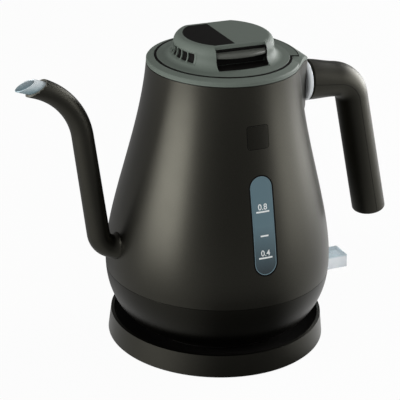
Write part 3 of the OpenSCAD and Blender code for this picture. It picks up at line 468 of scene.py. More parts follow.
def ahead(turn):
    """Flat unit vector at an angle."""
    return Vector((math.cos(turn), math.sin(turn)))


def left(turn):
    """Flat unit vector a quarter turn further."""
    return Vector((-math.sin(turn), math.cos(turn)))


def bezier(points, steps):
    """Points of a cubic curve."""
    a, b, c, d = (Vector(p) for p in points)
    shares = [i / steps for i in range(steps + 1)]
    return [(1 - t) ** 3 * a + 3 * (1 - t) ** 2 * t * b + 3 * (1 - t) * t * t * c + t ** 3 * d
            for t in shares]


def arc(centre, radius_x, radius_y, first, last, steps):
    """Points of an elliptic arc between two angles in degrees."""
    turns = [math.radians(first + (last - first) * i / steps) for i in range(steps + 1)]
    return [(centre[0] + radius_x * math.cos(a), centre[1] + radius_y * math.sin(a)) for a in turns]


def body_line(s):
    """Outer outline of the body from its underside to the top seam."""
    foot_out, foot_up, below_belly = 3 * MM, 1.1 * MM, 34 * MM
    over_belly, neck_out, below_neck = 37 * MM, 3.7 * MM, 51.2 * MM
    lower = [(s.foot_r, s.foot_z), (s.foot_r + foot_out, s.foot_z + foot_up),
             (s.belly_r, s.belly_z - below_belly), (s.belly_r, s.belly_z)]
    upper = [(s.belly_r, s.belly_z), (s.belly_r, s.belly_z + over_belly),
             (s.neck_r + neck_out, s.neck_z - below_neck), (s.neck_r, s.neck_z)]
    return bezier(lower, 24)[:-1] + bezier(upper, 48)


def body_r(s, z):
    """Radius of the body at a height."""
    line = body_line(s)
    for a, b in zip(line, line[1:]):
        if a.y <= z <= b.y:
            return a.x + (b.x - a.x) * (z - a.y) / (b.y - a.y)
    return line[0].x if z < line[0].y else line[-1].x


def wall_line(s, z0, z1, inset):
    """Outline of the body between two heights, moved in by inset."""
    points = []
    for z in [z0] + [p.y for p in body_line(s) if z0 + 0.3 * MM < p.y < z1 - 0.3 * MM] + [z1]:
        slope = Vector((body_r(s, z + MM) - body_r(s, z - MM), 2 * MM)).normalized()
        points.append((body_r(s, z) - inset * slope.y, z + inset * slope.x))
    return points


def fin_plan(s, arms):
    """Where a side of the fin leaves the neck, and where it ends at the collar."""
    tip = Vector((arms.arm_x - arms.collar_t, arms.fin_half_w))
    turn = math.atan2(tip.y, tip.x) + math.acos(s.neck_r / tip.length)
    return s.neck_r * ahead(turn), tip


def fin_block(name, s, arms, side):
    """Block towards the handle: a side view of [x, z] points, cut to the plan of the fin."""
    root, tip = fin_plan(s, arms)
    corners = (root, tip, Vector((tip.x, -tip.y)), Vector((root.x, -root.y)))
    plan = prism(name, [(p.x, p.y, s.belly_z) for p in corners], (0, 0, s.neck_z - s.belly_z + 20 * MM))
    view = prism("fin_side", [(x, -s.neck_r, z) for x, z in side], (0, 2 * s.neck_r, 0))
    return combine(plan, view, "INTERSECT")


def window_prism(s, grow):
    """Solid of the gauge's long hole with round ends, grown to all sides."""
    half_w, y = s.window_w / 2 + grow, -s.belly_r - 5 * MM
    outline = (arc((0, s.window_z1 + grow - half_w), half_w, half_w, 0, 180, 20)
               + arc((0, s.window_z0 - grow + half_w), half_w, half_w, 180, 360, 20))
    return prism("window_hole", [(x, y, z) for x, z in outline], (0, 45 * MM, 0))


def spout_path(s, body, tail):
    """Places and headings along the spout's middle line, in the XZ plane."""
    bend = math.pi / 2 - s.spout_lean
    start = Vector((body_r(body, s.spout_z) - MM, s.spout_z))
    foot = start + s.foot_bend_r * left(0)
    straight_end = foot - s.foot_bend_r * left(bend) + s.spout_straight * ahead(bend)
    neck = straight_end - s.neck_bend_r * left(bend)
    path = [(start - Vector((tail, 0)), 0.0)]
    foot_steps, neck_steps = 20, 28
    foot_turns = [bend * i / foot_steps for i in range(foot_steps + 1)]
    neck_turns = [bend - s.neck_bend * i / neck_steps for i in range(neck_steps + 1)]
    path += [(foot - s.foot_bend_r * left(a), a) for a in foot_turns]
    path += [(neck + s.neck_bend_r * left(a), a) for a in neck_turns]
    return [(-p.x, p.y, math.pi - a) for p, a in path]


# Materials

def feed(tree, socket, value):
    """Sets an input to a number or links it to an output."""
    if isinstance(value, bpy.types.NodeSocket):
        tree.links.new(value, socket)
    else:
        socket.default_value = value


def node(tree, kind, **inputs):
    """Adds a shader node and feeds its inputs, named with _ for a space."""
    made = tree.nodes.new("ShaderNode" + kind)
    for name, value in inputs.items():
        feed(tree, made.inputs[name.replace("_", " ")], value)
    return made


def maths(tree, operation, *values):
    """Output of a maths node."""
    made = node(tree, "Math")
    made.operation = operation
    for socket, value in zip(made.inputs, values):
        feed(tree, socket, value)
    return made.outputs[0]


def ease(tree, value, span, result):
    """Output of a smooth step from one pair of numbers to another."""
    made = node(tree, "MapRange", Value=value, From_Min=span[0], From_Max=span[1], To_Min=result[0],
                To_Max=result[1])
    made.interpolation_type = "SMOOTHSTEP"
    return made.outputs["Result"]


def ramp(tree, share, dark, light, low=0.0, high=1.0):
    """Output of a ramp between two colours."""
    made = node(tree, "ValToRGB", Fac=share)
    for element, position, tone in zip(made.color_ramp.elements, (low, high), (dark, light)):
        element.position, element.color = position, (*tone, 1)
    return made.outputs["Color"]


def place_of(tree):
    """Object coordinates of a finish."""
    return next(n for n in tree.nodes if n.bl_idname == "ShaderNodeTexCoord").outputs["Object"]


def tint(tone, share):
    """A colour made lighter or darker."""
    return [part * share for part in tone]


def finish(name, dark, light, grain, rough, bump=0.0, stretch=(1, 1, 1), **sockets):
    """Procedural finish: a grain between two colours, uneven gloss and a fine relief."""
    found = bpy.data.materials.get(name)
    if found:
        return found
    material = bpy.data.materials.new(name)
    material.use_nodes = True
    tree = material.node_tree
    place = node(tree, "TexCoord").outputs["Object"]
    mapped = node(tree, "Mapping", Vector=place, Scale=stretch).outputs["Vector"]
    fine = node(tree, "TexNoise", Vector=mapped, Scale=grain, Detail=3).outputs["Fac"]
    broad = node(tree, "TexNoise", Vector=place, Scale=grain * 0.04, Detail=2).outputs["Fac"]
    gloss = node(tree, "MapRange", Value=broad, To_Min=rough[0], To_Max=rough[1]).outputs["Result"]
    sockets.update(Base_Color=ramp(tree, fine, dark, light, 0.35, 0.65), Roughness=gloss)
    if bump:
        relief = node(tree, "Bump", Strength=bump, Distance=0.05 * MM, Height=fine)
        sockets["Normal"] = relief.outputs["Normal"]
    for socket, value in sockets.items():
        feed(tree, tree.nodes["Principled BSDF"].inputs[socket.replace("_", " ")], value)
    return material


def fade_by_height(material, low, high, z0, z1):
    """Colours a finish from low to high between two heights, instead of by its grain."""
    tree = material.node_tree
    height = node(tree, "SeparateXYZ", Vector=place_of(tree)).outputs["Z"]
    span = node(tree, "MapRange", Value=height, From_Min=z0, From_Max=z1).outputs["Result"]
    feed(tree, tree.nodes["Principled BSDF"].inputs["Base Color"], ramp(tree, span, low, high))


def brown(c, name, rough, share=1.0):
    """Metallic brown with its flakes; a share below 1 makes a darker copy, used as painted shade."""
    return finish(name, tint(c.brown, share), tint(c.brown_light, share), 2600, rough, 0.02, Metallic=1.0)


def satin_brown(c):
    """Brown of the body and of the base's rim."""
    return brown(c, "satin_brown", (0.34, 0.39))


def soft_brown(c):
    """Brown of the spout's sleeve and of the handle."""
    return brown(c, "soft_brown", (0.42, 0.48))


def moulded_green(c):
    """Grey-green plastic of the lid and the ring."""
    return finish("moulded_green", c.green, c.green_light, 3200, (0.56, 0.64), 0.12, Specular_IOR_Level=0.25)


def matt_black(c):
    """Black plastic, dark lines, and black sheets of painted shade in the finger recesses, behind the grille
    and round the badge.
    """
    return finish("matt_black", c.black, c.black_light, 2400, (0.55, 0.65), 0.1, Specular_IOR_Level=0.05)


def brushed_steel(c):
    """Steel of the vessel, springs and screws."""
    return finish("brushed_steel", c.steel, c.steel_light, 500, (0.36, 0.42), 0.0, (1, 1, 8), Metallic=0.45)


# Pieces

def settings(context):
    """Body, lid, arm and finish settings of the scene."""
    scene = context.scene
    return scene.kettle_body, scene.kettle_lid, scene.kettle_arms, scene.kettle_finishes


class KETTLE_OT_stage(bpy.types.Operator):
    """Pale floor, soft studio light and the camera"""

    bl_idname = "kettle.stage"
    bl_label = "Stage"

    def execute(self, context):
        stage = context.scene.kettle_stage
        self.floor(stage)
        self.world(context.scene, stage)
        self.lamps(stage)
        self.camera(context.scene, stage)
        context.scene.view_settings.view_transform = "Standard"
        return {"FINISHED"}

    def floor(self, stage):
        """Floor that looks white, and that metal sees graded as a painted reflection."""
        floor = added("floor", bpy.ops.mesh.primitive_plane_add, size=24)
        material = finish("pale_floor", (0.4, 0.4, 0.39), (0.44, 0.44, 0.43), 3, (0.8, 0.9),
                          Specular_IOR_Level=0.1)
        tree = material.node_tree
        white, glossy = self.rays(tree)
        gloss = maths(tree, "MAXIMUM", maths(tree, "SUBTRACT", glossy, white), 0)
        grade = maths(tree, "MULTIPLY", gloss, self.sheen(tree, stage))
        glow = node(tree, "Emission", Strength=maths(tree, "ADD", white, grade))
        share = maths(tree, "MULTIPLY", white, stage.floor_white)
        mix = node(tree, "MixShader", Fac=maths(tree, "ADD", share, gloss))
        tree.links.new(tree.nodes["Principled BSDF"].outputs[0], mix.inputs[1])
        tree.links.new(glow.outputs[0], mix.inputs[2])
        tree.links.new(mix.outputs[0], tree.nodes["Material Output"].inputs["Surface"])
        floor.data.materials.append(material)

    def rays(self, tree):
        """Which rays see plain white, those of the camera and through clear plastic, and which are glossy."""
        path = node(tree, "LightPath").outputs
        white = maths(tree, "MAXIMUM", path["Is Camera Ray"], path["Is Transmission Ray"])
        return white, path["Is Glossy Ray"]

    def sheen(self, tree, stage):
        """Painted reflection: how bright metal sees the floor, dark close before the kettle as painted shade,
        pale at its sides.
        """
        place = place_of(tree)
        away = node(tree, "VectorMath")
        away.operation = "LENGTH"
        feed(tree, away.inputs[0], place)
        away = away.outputs["Value"]
        turn = maths(tree, "DIVIDE", node(tree, "SeparateXYZ", Vector=place).outputs["X"], away)
        front = ease(tree, away, (0.13, 0.33), (stage.sheen_near, stage.sheen_front))
        side = ease(tree, maths(tree, "ABSOLUTE", turn), (0.35, 0.95), (0, 1))
        pale = ease(tree, turn, (-0.9, 0.9), (stage.sheen_left, stage.sheen_right))
        more = maths(tree, "SUBTRACT", pale, front)
        return maths(tree, "ADD", front, maths(tree, "MULTIPLY", more, side))

    def world(self, scene, stage):
        """World that looks white and shines weakly."""
        scene.world = bpy.data.worlds.new("studio")
        scene.world.use_nodes = True
        tree = scene.world.node_tree
        back = tree.nodes["Background"].inputs
        back["Color"].default_value = (1, 1, 1, 1)
        feed(tree, back["Strength"], maths(tree, "MAXIMUM", self.rays(tree)[0], stage.ambient))

    def lamps(self, stage):
        """Upright strips round the kettle, given by azimuth, width and power, and a fill over the camera."""
        away, strip_z, aim_z, tall = 1.2, 0.39, 0.3, 0.75
        for name, azimuth, width, watts in (("strip_left", -84, 0.85, stage.left_power),
                                            ("strip_right", 102, 0.9, stage.right_power),
                                            ("strip_front", 62, 0.7, stage.front_power)):
            turn = math.radians(azimuth)
            place = (away * math.sin(turn), -away * math.cos(turn), strip_z)
            self.lamp(name, place, (0, 0, aim_z), (width, tall), watts)
        fill = self.lamp("fill", (-0.45, -0.95, 1.25), (0, 0, 0.15), (1.3, 0.8), stage.fill_power)
        fill.visible_glossy = False

    def lamp(self, name, place, target, size, watts):
        """Area light that faces a point."""
        lamp = added(name, bpy.ops.object.light_add, type="AREA", location=place)
        lamp.data.shape = "RECTANGLE"
        lamp.data.size, lamp.data.size_y = size
        lamp.data.energy = watts
        lamp.rotation_euler = (Vector(target) - Vector(place)).to_track_quat("-Z", "Y").to_euler()
        return lamp

    def camera(self, scene, stage):
        """Camera of the photograph, from its place, pitch, yaw, roll and lens."""
        camera = added("Camera", bpy.ops.object.camera_add)
        camera.data.sensor_width = 36
        camera.data.lens = stage.lens
        level = math.cos(stage.pitch)
        forward = Vector((math.sin(stage.yaw) * level, math.cos(stage.yaw) * level, -math.sin(stage.pitch)))
        right = Vector((math.cos(stage.yaw), -math.sin(stage.yaw), 0))
        up = right.cross(forward)
        axes = Matrix((math.cos(stage.roll) * right + math.sin(stage.roll) * up,
                       math.cos(stage.roll) * up - math.sin(stage.roll) * right, -forward)).transposed()
        pose = Matrix.Translation((0, -stage.distance, stage.height)) @ axes.to_4x4()
        camera.matrix_world = Matrix.Rotation(stage.azimuth, 4, "Z") @ pose
        scene.camera = camera


class KETTLE_OT_base(bpy.types.Operator):
    """Drafted rim and black dish of the power base"""

    bl_idname = "kettle.base"
    bl_label = "Power base"

    def execute(self, context):
        s, _, _, c = settings(context)
        top_r, gland_z, gland_r = s.base_r - s.base_draft, 7.1 * MM, 3.95 * MM
        rim = spun("base_rim", [
            (s.base_r - s.base_wall, MM), (s.base_r - 0.6 * MM, MM), (s.base_r, 1.6 * MM), (top_r, s.base_h),
            (top_r - s.base_wall, s.base_h)], FINE_STEPS)
        combine(rim, rod("gland_hole", (60 * MM, 0, gland_z), (80 * MM, 0, gland_z), gland_r))
        soften(rim, 0.6)
        dress(rim, "power_base", satin_brown(c), ["base_shell"])
        self.dish(s, c, top_r)
        return {"FINISHED"}

    def dish(self, s, c, top_r):
        """Black top of the base, with a seat ring under the kettle."""
        hole_r, seat_z, floor_z, rim_z = 14.65 * MM, 12.1 * MM, 9.9 * MM, s.base_h - 1.6 * MM
        edge, dish_r, under = top_r - s.base_wall - 0.05 * MM, s.foot_r + 2 * MM, 2 * MM
        slope = bezier(((edge - 1.2 * MM, rim_z), (edge - 5 * MM, rim_z - 2.2 * MM),
                        (dish_r + 4 * MM, floor_z), (dish_r, floor_z)), 12)
        dish = spun("base_dish", [
            (hole_r, floor_z - under), (dish_r, floor_z - under), (edge, rim_z - under), (edge, rim_z),
            *[tuple(p) for p in slope], (s.foot_r - 2.4 * MM, floor_z), (s.foot_r - 3 * MM, seat_z),
            (s.foot_r - 12 * MM, seat_z), (s.foot_r - 12.6 * MM, floor_z), (hole_r, floor_z)])
        soften(dish, 0.3)
        dress(dish, "power_base", matt_black(c), ["base_tray"])


class KETTLE_OT_body(bpy.types.Operator):
    """Bell-shaped outer wall, its fairing for the handle and the lower cup"""

    bl_idname = "kettle.body"
    bl_label = "Body"

    def execute(self, context):
        s, _, arms, c = settings(context)
        low, high = s.seam_z + 0.3 * MM, s.neck_z
        wall = spun("body_wall", wall_line(s, low, high, 0) + wall_line(s, low, high, s.body_wall)[::-1],
                    FINE_STEPS)
        combine(wall, self.fin(s, arms), "UNION")
        combine(wall, window_prism(s, s.frame_w + 0.05 * MM))
        drop_empty(soften(wall, 0.4))
        dress(wall, "kettle", satin_brown(c), ["outer_body"])
        self.cup(s, c, arms)
        return {"FINISHED"}

    def fin(self, s, arms):
        """Fin that carries the collar, cut free of the vessel's space."""
        x, foot = arms.arm_x - arms.collar_t, arms.arm_z - arms.arm_root_r - MM
        deep, top = s.neck_r * 0.7, s.neck_z - 0.02 * MM
        fin = fin_block("fin", s, arms, [
            (deep, foot - 8 * MM), (x - 5 * MM, foot - 8 * MM), (x, foot),
            (x, s.neck_z - arms.spur_drop - 0.05 * MM), (s.neck_r - 0.4 * MM, top), (deep, top)])
        inside = wall_line(s, 140 * MM, s.neck_z + 2 * MM, s.body_wall * 0.5)
        return combine(fin, spun("inside", [(0, inside[0][1])] + inside + [(0, inside[-1][1])], FINE_STEPS))

    def cup(self, s, c, arms):
        """Lower cup with its connector hole, lever slot and screw seats."""
        floor_z, hole_r, screw_r = s.foot_z + 2.5 * MM, 19.5 * MM, 42 * MM
        inner = wall_line(s, floor_z, s.seam_z, s.body_wall)
        cup = spun("lower_cup", [(hole_r, s.foot_z)] + wall_line(s, s.foot_z, s.seam_z, 0) + inner[::-1]
                   + [(hole_r, floor_z)], FINE_STEPS)
        half_w = arms.lever_w / 2 + 0.4 * MM
        combine(cup, block("lever_slot", (66 * MM, -half_w, arms.lever_z - 2.1 * MM),
                           (s.belly_r + MM, half_w, arms.lever_z + arms.lever_tip_t + 0.4 * MM)))
        for turn in (75, 180, 285):
            x, y = screw_r * math.cos(math.radians(turn)), screw_r * math.sin(math.radians(turn))
            combine(cup, rod("screw_seat", (x, y, s.foot_z - MM), (x, y, s.foot_z + 0.95 * MM), 3.1 * MM))
        soften(cup, 0.3, 2)
        # Painted shade: the lower cup takes a darker copy of the body's brown.
        dress(cup, "kettle", brown(c, "shaded_brown", (0.36, 0.42), 0.55), ["lower_cover"])


class KETTLE_OT_shoulder(bpy.types.Operator):
    """Moulded ring round the mouth, with its spur over the handle's root"""

    bl_idname = "kettle.shoulder"
    bl_label = "Shoulder ring"

    def execute(self, context):
        s, lid, arms, c = settings(context)
        foot, top, edge_r = s.neck_z + 0.5 * MM, lid.ring_z, s.neck_r - 0.05 * MM
        ring = spun("mouth_ring", [
            (lid.mouth_r, foot), (edge_r, foot), (edge_r, top - 2.2 * MM),
            (edge_r - 0.7 * MM, top - 1.3 * MM), (lid.mouth_r, top)], FINE_STEPS)
        combine(ring, self.spur(s, lid, arms, foot), "UNION")
        combine(ring, ring_part(
            "tab_notch", (lid.mouth_r - 2 * MM, lid.lid_r + 5.5 * MM),
            (lid.lid_z - 2 * MM, lid.lid_z + 6 * MM), half=lid.tab_angle + math.radians(0.8), steps=24))
        soften(ring, 0.3)
        dress(ring, "kettle", moulded_green(c), ["shoulder_ring"])
        gap = ring_part("neck_gap", (s.neck_r - 1.7 * MM, s.neck_r - 0.6 * MM),
                        (s.neck_z - 0.6 * MM, s.neck_z + 0.9 * MM), steps=FINE_STEPS)
        dress(gap, "kettle", matt_black(c))
        return {"FINISHED"}

    def spur(self, s, lid, arms, foot):
        """Beak that runs out from the ring and droops to the top of the collar."""
        x, low, deep = arms.arm_x - arms.collar_t, s.neck_z - arms.spur_drop + 0.4 * MM, lid.mouth_r * 0.8
        tip, bow = Vector((x, low + 1.6 * MM)), Vector((x - 3 * MM, lid.ring_z - 1.8 * MM))
        high = Vector((lid.mouth_r, lid.ring_z - 0.02 * MM))
        roof = [tuple(tip.lerp(bow, i / 12).lerp(bow.lerp(high, i / 12), i / 12)) for i in range(13)]
        under = foot + 0.03 * MM
        spur = fin_block("spur", s, arms, [
            (deep, under), (s.neck_r - 0.4 * MM, under), (x, low), *roof, (deep, high.y)])
        for side in (-1, 1):
            self.ease_root(spur, s, lid, arms, side)
        return combine(spur, rod("mouth", (0, 0, 150 * MM), (0, 0, 230 * MM), lid.mouth_r + 0.8 * MM, 96))

    def ease_root(self, spur, s, lid, arms, side):
        """Slopes the spur up from the ring's edge to the tab, on one side."""
        root, _ = fin_plan(s, arms)
        mouth_y = math.sqrt(lid.mouth_r ** 2 - root.x ** 2)
        beside_tab, edge_r = lid.tab_angle + math.radians(2), s.neck_r - 0.7 * MM
        inner = Vector((root.x, side * mouth_y, lid.ring_z))
        outer = Vector((root.x, side * root.y, lid.ring_z - 2.2 * MM))
        upper = Vector((edge_r * math.cos(beside_tab), side * edge_r * math.sin(beside_tab), lid.ring_z))
        up = (outer - inner).cross(upper - inner)
        cut_away(spur, inner, math.copysign(1, up.z) * up.normalized(), fill=True)


class KETTLE_OT_gauge(bpy.types.Operator):
    """Smoked window with its frame, volume lines and plain numbers"""

    bl_idname = "kettle.gauge"
    bl_label = "Water gauge"

    def execute(self, context):
        s, _, _, c = settings(context)
        glass = self.strip("gauge_glass", s, (0.3, 4.7), -0.05 * MM)
        soften(glass, 0.7)
        smoke = finish("smoked_window", c.smoke, c.smoke_light, 300, (0.12, 0.2), Coat_Weight=0.2,
                       Specular_IOR_Level=0.4)
        fade_by_height(smoke, c.smoke, c.smoke_light, s.window_z0,
                       s.window_z0 + 0.5 * (s.window_z1 - s.window_z0))
        dress(glass, "kettle", smoke, ["gauge_window"])
        rim = self.strip("gauge_frame", s, (0.05, 5.1), s.frame_w)
        combine(rim, window_prism(s, 0.02 * MM))
        soften(rim, 0.2, 2)
        dress(rim, "kettle", matt_black(c), ["window_gasket"])
        # Painted highlight: a pale ring along the window's edge stands for its lit edge.
        lip = self.strip("gauge_lip", s, (0.2, 1.5), -0.07 * MM)
        combine(lip, window_prism(s, -0.55 * MM))
        soften(lip, 0.12, 2)
        pale = finish("window_edge_glint", tint(c.smoke_light, 1.2), tint(c.smoke_light, 1.4), 300, (0.2, 0.25))
        dress(lip, "kettle", pale)
        self.marks(s, c, glass)
        return {"FINISHED"}

    def strip(self, name, s, depths, grow):
        """Piece of the wall between two depths in millimetres, cut to the window's shape."""
        z0, z1 = s.window_z0 - 5 * MM, s.window_z1 + 5 * MM
        outline = wall_line(s, z0, z1, depths[0] * MM) + wall_line(s, z0, z1, depths[1] * MM)[::-1]
        strip = spun(name, outline, 40, math.radians(50), math.radians(-115))
        return combine(strip, window_prism(s, grow), "INTERSECT")

    def marks(self, s, c, glass):
        """Lines, given by height and width, and numbers, laid on the glass."""
        ink = finish("white_ink", tint(c.ink, 0.92), c.ink, 2500, (0.45, 0.55), 0.05)
        before, upright = -s.belly_r - 2 * MM, (math.pi / 2, 0, 0)
        pieces = []
        for i, (z, width) in enumerate(((115.9, 9.3), (100.5, 5.6), (86.2, 9.6))):
            line = added(f"gauge_line_{i}", bpy.ops.mesh.primitive_plane_add, size=MM,
                         location=(0, before, z * MM), rotation=upright)
            bpy.ops.transform.resize(value=(width, 1, 1))
            pieces.append(settle(line))
        for text, z in (("0.8", 117.2), ("0.4", 87.5)):
            deselect()
            bpy.ops.object.text_add(location=(0, before, z * MM), rotation=upright)
            words = bpy.context.object.data
            words.body, words.size, words.align_x, words.offset = text, 5.4 * MM, "CENTER", 0.04 * MM
            bpy.ops.object.convert(target="MESH")
            obj = settle(bpy.context.object)
            obj.name = obj.data.name = "gauge_number_" + text.replace(".", "_")
            pieces.append(obj)
        for obj in pieces:
            edit(obj)
            bpy.ops.mesh.subdivide(number_cuts=2)
            bpy.ops.object.mode_set(mode="OBJECT")
            dress(lay_on(obj, glass, 0.06 * MM), "kettle", ink)


class KETTLE_OT_spout(bpy.types.Operator):
    """Gooseneck sleeve that flares at the body, and the steel pipe inside it"""

    bl_idname = "kettle.spout"
    bl_label = "Spout"

    def execute(self, context):
        body, _, s, c = settings(context)
        self.sleeve(s, body, c)
        self.pipe(s, body, c)
        return {"FINISHED"}

    def sleeve(self, s, body, c):
        """Tapered sleeve with a slanted end, whose cut face is paler as a painted highlight."""
        tail, flare = 3 * MM, 7 * MM
        path = spout_path(s, body, tail)
        runs = [0.0]
        for a, b in zip(path, path[1:]):
            runs.append(runs[-1] + math.hypot(b[0] - a[0], b[1] - a[1]))
        stations = []
        for (x, z, heading), along in zip(path, runs):
            share = max(along - tail, 0) / (runs[-1] - tail)
            bell = max(0, 1 - max(along - tail, 0) / flare) ** 2
            r = s.sleeve_r + (s.sleeve_tip_r - s.sleeve_r) * share + (s.sleeve_flare_r - s.sleeve_r) * bell
            stations.append((x, z, heading, r, r))
        x, z, heading, r, _ = stations[-1]
        reach = r / math.tan(s.sleeve_bevel) + MM
        stations.append((x + reach * math.cos(heading), z + reach * math.sin(heading), heading, r, r))
        sleeve = tube("spout_sleeve", stations)
        slant_end(sleeve, (x, z), heading, s.sleeve_bevel)
        thicken(sleeve, 1.5)
        soften(sleeve, 0.35)
        dress(sleeve, "kettle", soft_brown(c), ["spout_cover"])
        # Painted highlight: the slanted cut face takes a paler brown.
        sleeve.data.materials.append(finish("cut_edge_highlight", tint(c.brown, 3), tint(c.brown, 3.4), 2600,
                                            (0.4, 0.45), Metallic=0.4))
        tilt, cut = heading + s.sleeve_bevel - math.pi / 2, Vector((x, 0, z))
        for face in sleeve.data.polygons:
            if abs((face.center - cut).dot(Vector((math.cos(tilt), 0, math.sin(tilt))))) < 0.45 * MM:
                face.material_index = 1

    def pipe(self, s, body, c):
        """Steel pipe with a slanted mouth, with a painted highlight on its upper side and painted shade
        below.
        """
        path = spout_path(s, body, 4.7 * MM)
        x, z, heading = path[-1]
        way, slant = ahead(heading), s.pipe_r / math.tan(s.tip_bevel)
        reach = s.tip_top + 2 * slant + MM
        stations = [(*p, s.pipe_r, s.pipe_r) for p in path]
        stations.append((x + reach * way.x, z + reach * way.y, heading, s.pipe_r, s.pipe_r))
        pipe = tube("spout_pipe", stations, 48)
        middle = Vector((x, z)) + (s.tip_top + slant) * way
        slant_end(pipe, middle, heading, s.tip_bevel)
        thicken(pipe, 0.8)
        soften(pipe, 0.2, 2)
        steel = finish("tip_steel", c.steel, c.steel_light, 2600, (0.36, 0.42), Metallic=0.2)
        # Painted light: the tip fades from painted shade on its lower side to a painted highlight on its
        # upper side.
        fade_by_height(steel, c.tip_low, c.silver, middle.y - 3.5 * MM, middle.y + 4 * MM)
        dress(pipe, "kettle", steel, ["spout_tube"])


class KETTLE_OT_handle(bpy.types.Operator):
    """Two-shell handle, its silver collar and the dark joint between them"""

    bl_idname = "kettle.handle"
    bl_label = "Handle"

    def execute(self, context):
        _, _, s, c = settings(context)
        stations = self.stations(s)
        for name, side, node_name in (("handle_back", 1, "handle_outer_shell"),
                                      ("handle_front", -1, "handle_inner_shell")):
            shell = tube(name, stations, 64, True)
            self.keep_side(shell, stations, side)
            thicken(shell, 2.2)
            soften(shell, 0.4, 2)
            dress(shell, "kettle", soft_brown(c), [node_name])
        seam_half_t, proud = 1.4 * MM, 0.12 * MM
        blade = [(x, z, heading, seam_half_t, half_w + proud) for x, z, heading, _, half_w in stations[1:-3]]
        dress(tube("handle_seam", blade, 32, True), "kettle", matt_black(c))
        self.collar(s, c)
        return {"FINISHED"}

    def collar(self, s, c):
        """Silver collar with a domed edge, and the dark joint behind it."""
        x0, x1, hole_r = s.arm_x - s.collar_t + 0.05 * MM, s.arm_x - 0.9 * MM, 5 * MM
        r, dome_r = s.arm_root_r + 0.3 * MM, 1.6 * MM
        dome = arc((x0 + dome_r, r - dome_r), dome_r, dome_r, 180, 90, 12)
        collar = spun_x("silver_collar", [(x0, hole_r), *dome, (x1, r), (x1, hole_r)], s.arm_z)
        soften(collar, 0.5)
        self.stretch(collar, s, r)
        silver = finish("satin_silver", c.silver, [min(1, part) for part in tint(c.silver, 1.05)], 2200,
                        (0.35, 0.42), 0.02, Metallic=0.15)
        dress(collar, "kettle", silver, ["handle_collar"])
        gap = spun_x("handle_joint", [(x1, hole_r), (x1, r - MM), (s.arm_x, r - MM), (s.arm_x, hole_r)],
                     s.arm_z)
        self.stretch(gap, s, r)
        dress(gap, "kettle", matt_black(c))

    def stretch(self, obj, s, r):
        """Makes a round piece at the root a little taller, from its foot up."""
        make_active(obj)
        bpy.ops.transform.resize(value=(1, 1, 1 + s.root_rise / (2 * r)), center_override=(0, 0, s.arm_z - r))

    def stations(self, s):
        """Sections from the collar to the end of the grip, thicker on the upper side towards the collar."""
        slope, drop, rise, root_r = -s.arm_slope, -s.grip_slope, s.root_rise, s.arm_root_r
        half_t, half_w = s.grip_t / 2, s.grip_w / 2
        arm_steps, elbow_steps, end_steps = 8, 20, 6
        chamfer, end_round = 0.6 * MM, MM
        start = Vector((s.arm_x + 0.05 * MM, s.arm_z))
        elbow = start + s.arm_len * ahead(slope) - s.elbow_r * left(slope)
        headings = [slope + (drop - slope) * i / elbow_steps for i in range(elbow_steps + 1)]
        turned = [(elbow + s.elbow_r * left(a), a) for a in headings]
        last, way = turned[-1][0], ahead(drop)
        end = last + s.grip_len * way
        rows = [(start, 0.0, root_r - chamfer, root_r - chamfer, rise),
                (start + Vector((chamfer, 0)), slope * 0.3, root_r, root_r, rise)]
        for i in range(1, arm_steps):
            share = i / arm_steps
            blend = share * share * (3 - 2 * share)
            rows.append((start.lerp(turned[0][0], share), slope, root_r + (half_t - root_r) * blend,
                         root_r + (half_w - root_r) * blend, rise * (1 - 0.3 * share)))
        for i, (p, heading) in enumerate(turned):
            rows.append((p, heading, half_t, half_w, rise * (0.7 - 1.1 * i / elbow_steps)))
        for share in (0.3, 0.6, 0.9):
            rows.append((last.lerp(end, share), drop, half_t, half_w, -0.4 * rise * (1 - share)))
        for i in range(end_steps + 1):
            a = math.pi / 2 * i / end_steps
            shrink = (1 - math.cos(a)) * end_round
            place = end - (1 - math.sin(a)) * end_round * way
            rows.append((place, drop, half_t - shrink, half_w - shrink, 0))
        return [(p.x - math.sin(a) * more / 2, p.y + math.cos(a) * more / 2, a, thick + more / 2, wide)
                for p, a, thick, wide, more in rows]

    def keep_side(self, shell, stations, side):
        """Deletes the faces on the other side of the handle's middle line, and its end caps' other halves."""
        path = [(Vector((x, z)), heading) for x, z, heading, _, _ in stations]
        edit(shell)
        mesh = bmesh.from_edit_mesh(shell.data)
        mesh.select_mode = {"FACE"}
        for face in mesh.faces:
            face.select = len(face.verts) > 4
        mesh.select_flush_mode()
        bpy.ops.mesh.poke()
        mesh = bmesh.from_edit_mesh(shell.data)
        for face in mesh.faces:
            centre = face.calc_center_median()
            flat = Vector((centre.x, centre.z))
            near, heading = min(path, key=lambda row: (row[0] - flat).length_squared)
            face.select = (flat - near).dot(left(heading)) * side < 0
        mesh.select_flush_mode()
        bpy.ops.mesh.delete(type="FACE")
        bpy.ops.object.mode_set(mode="OBJECT")


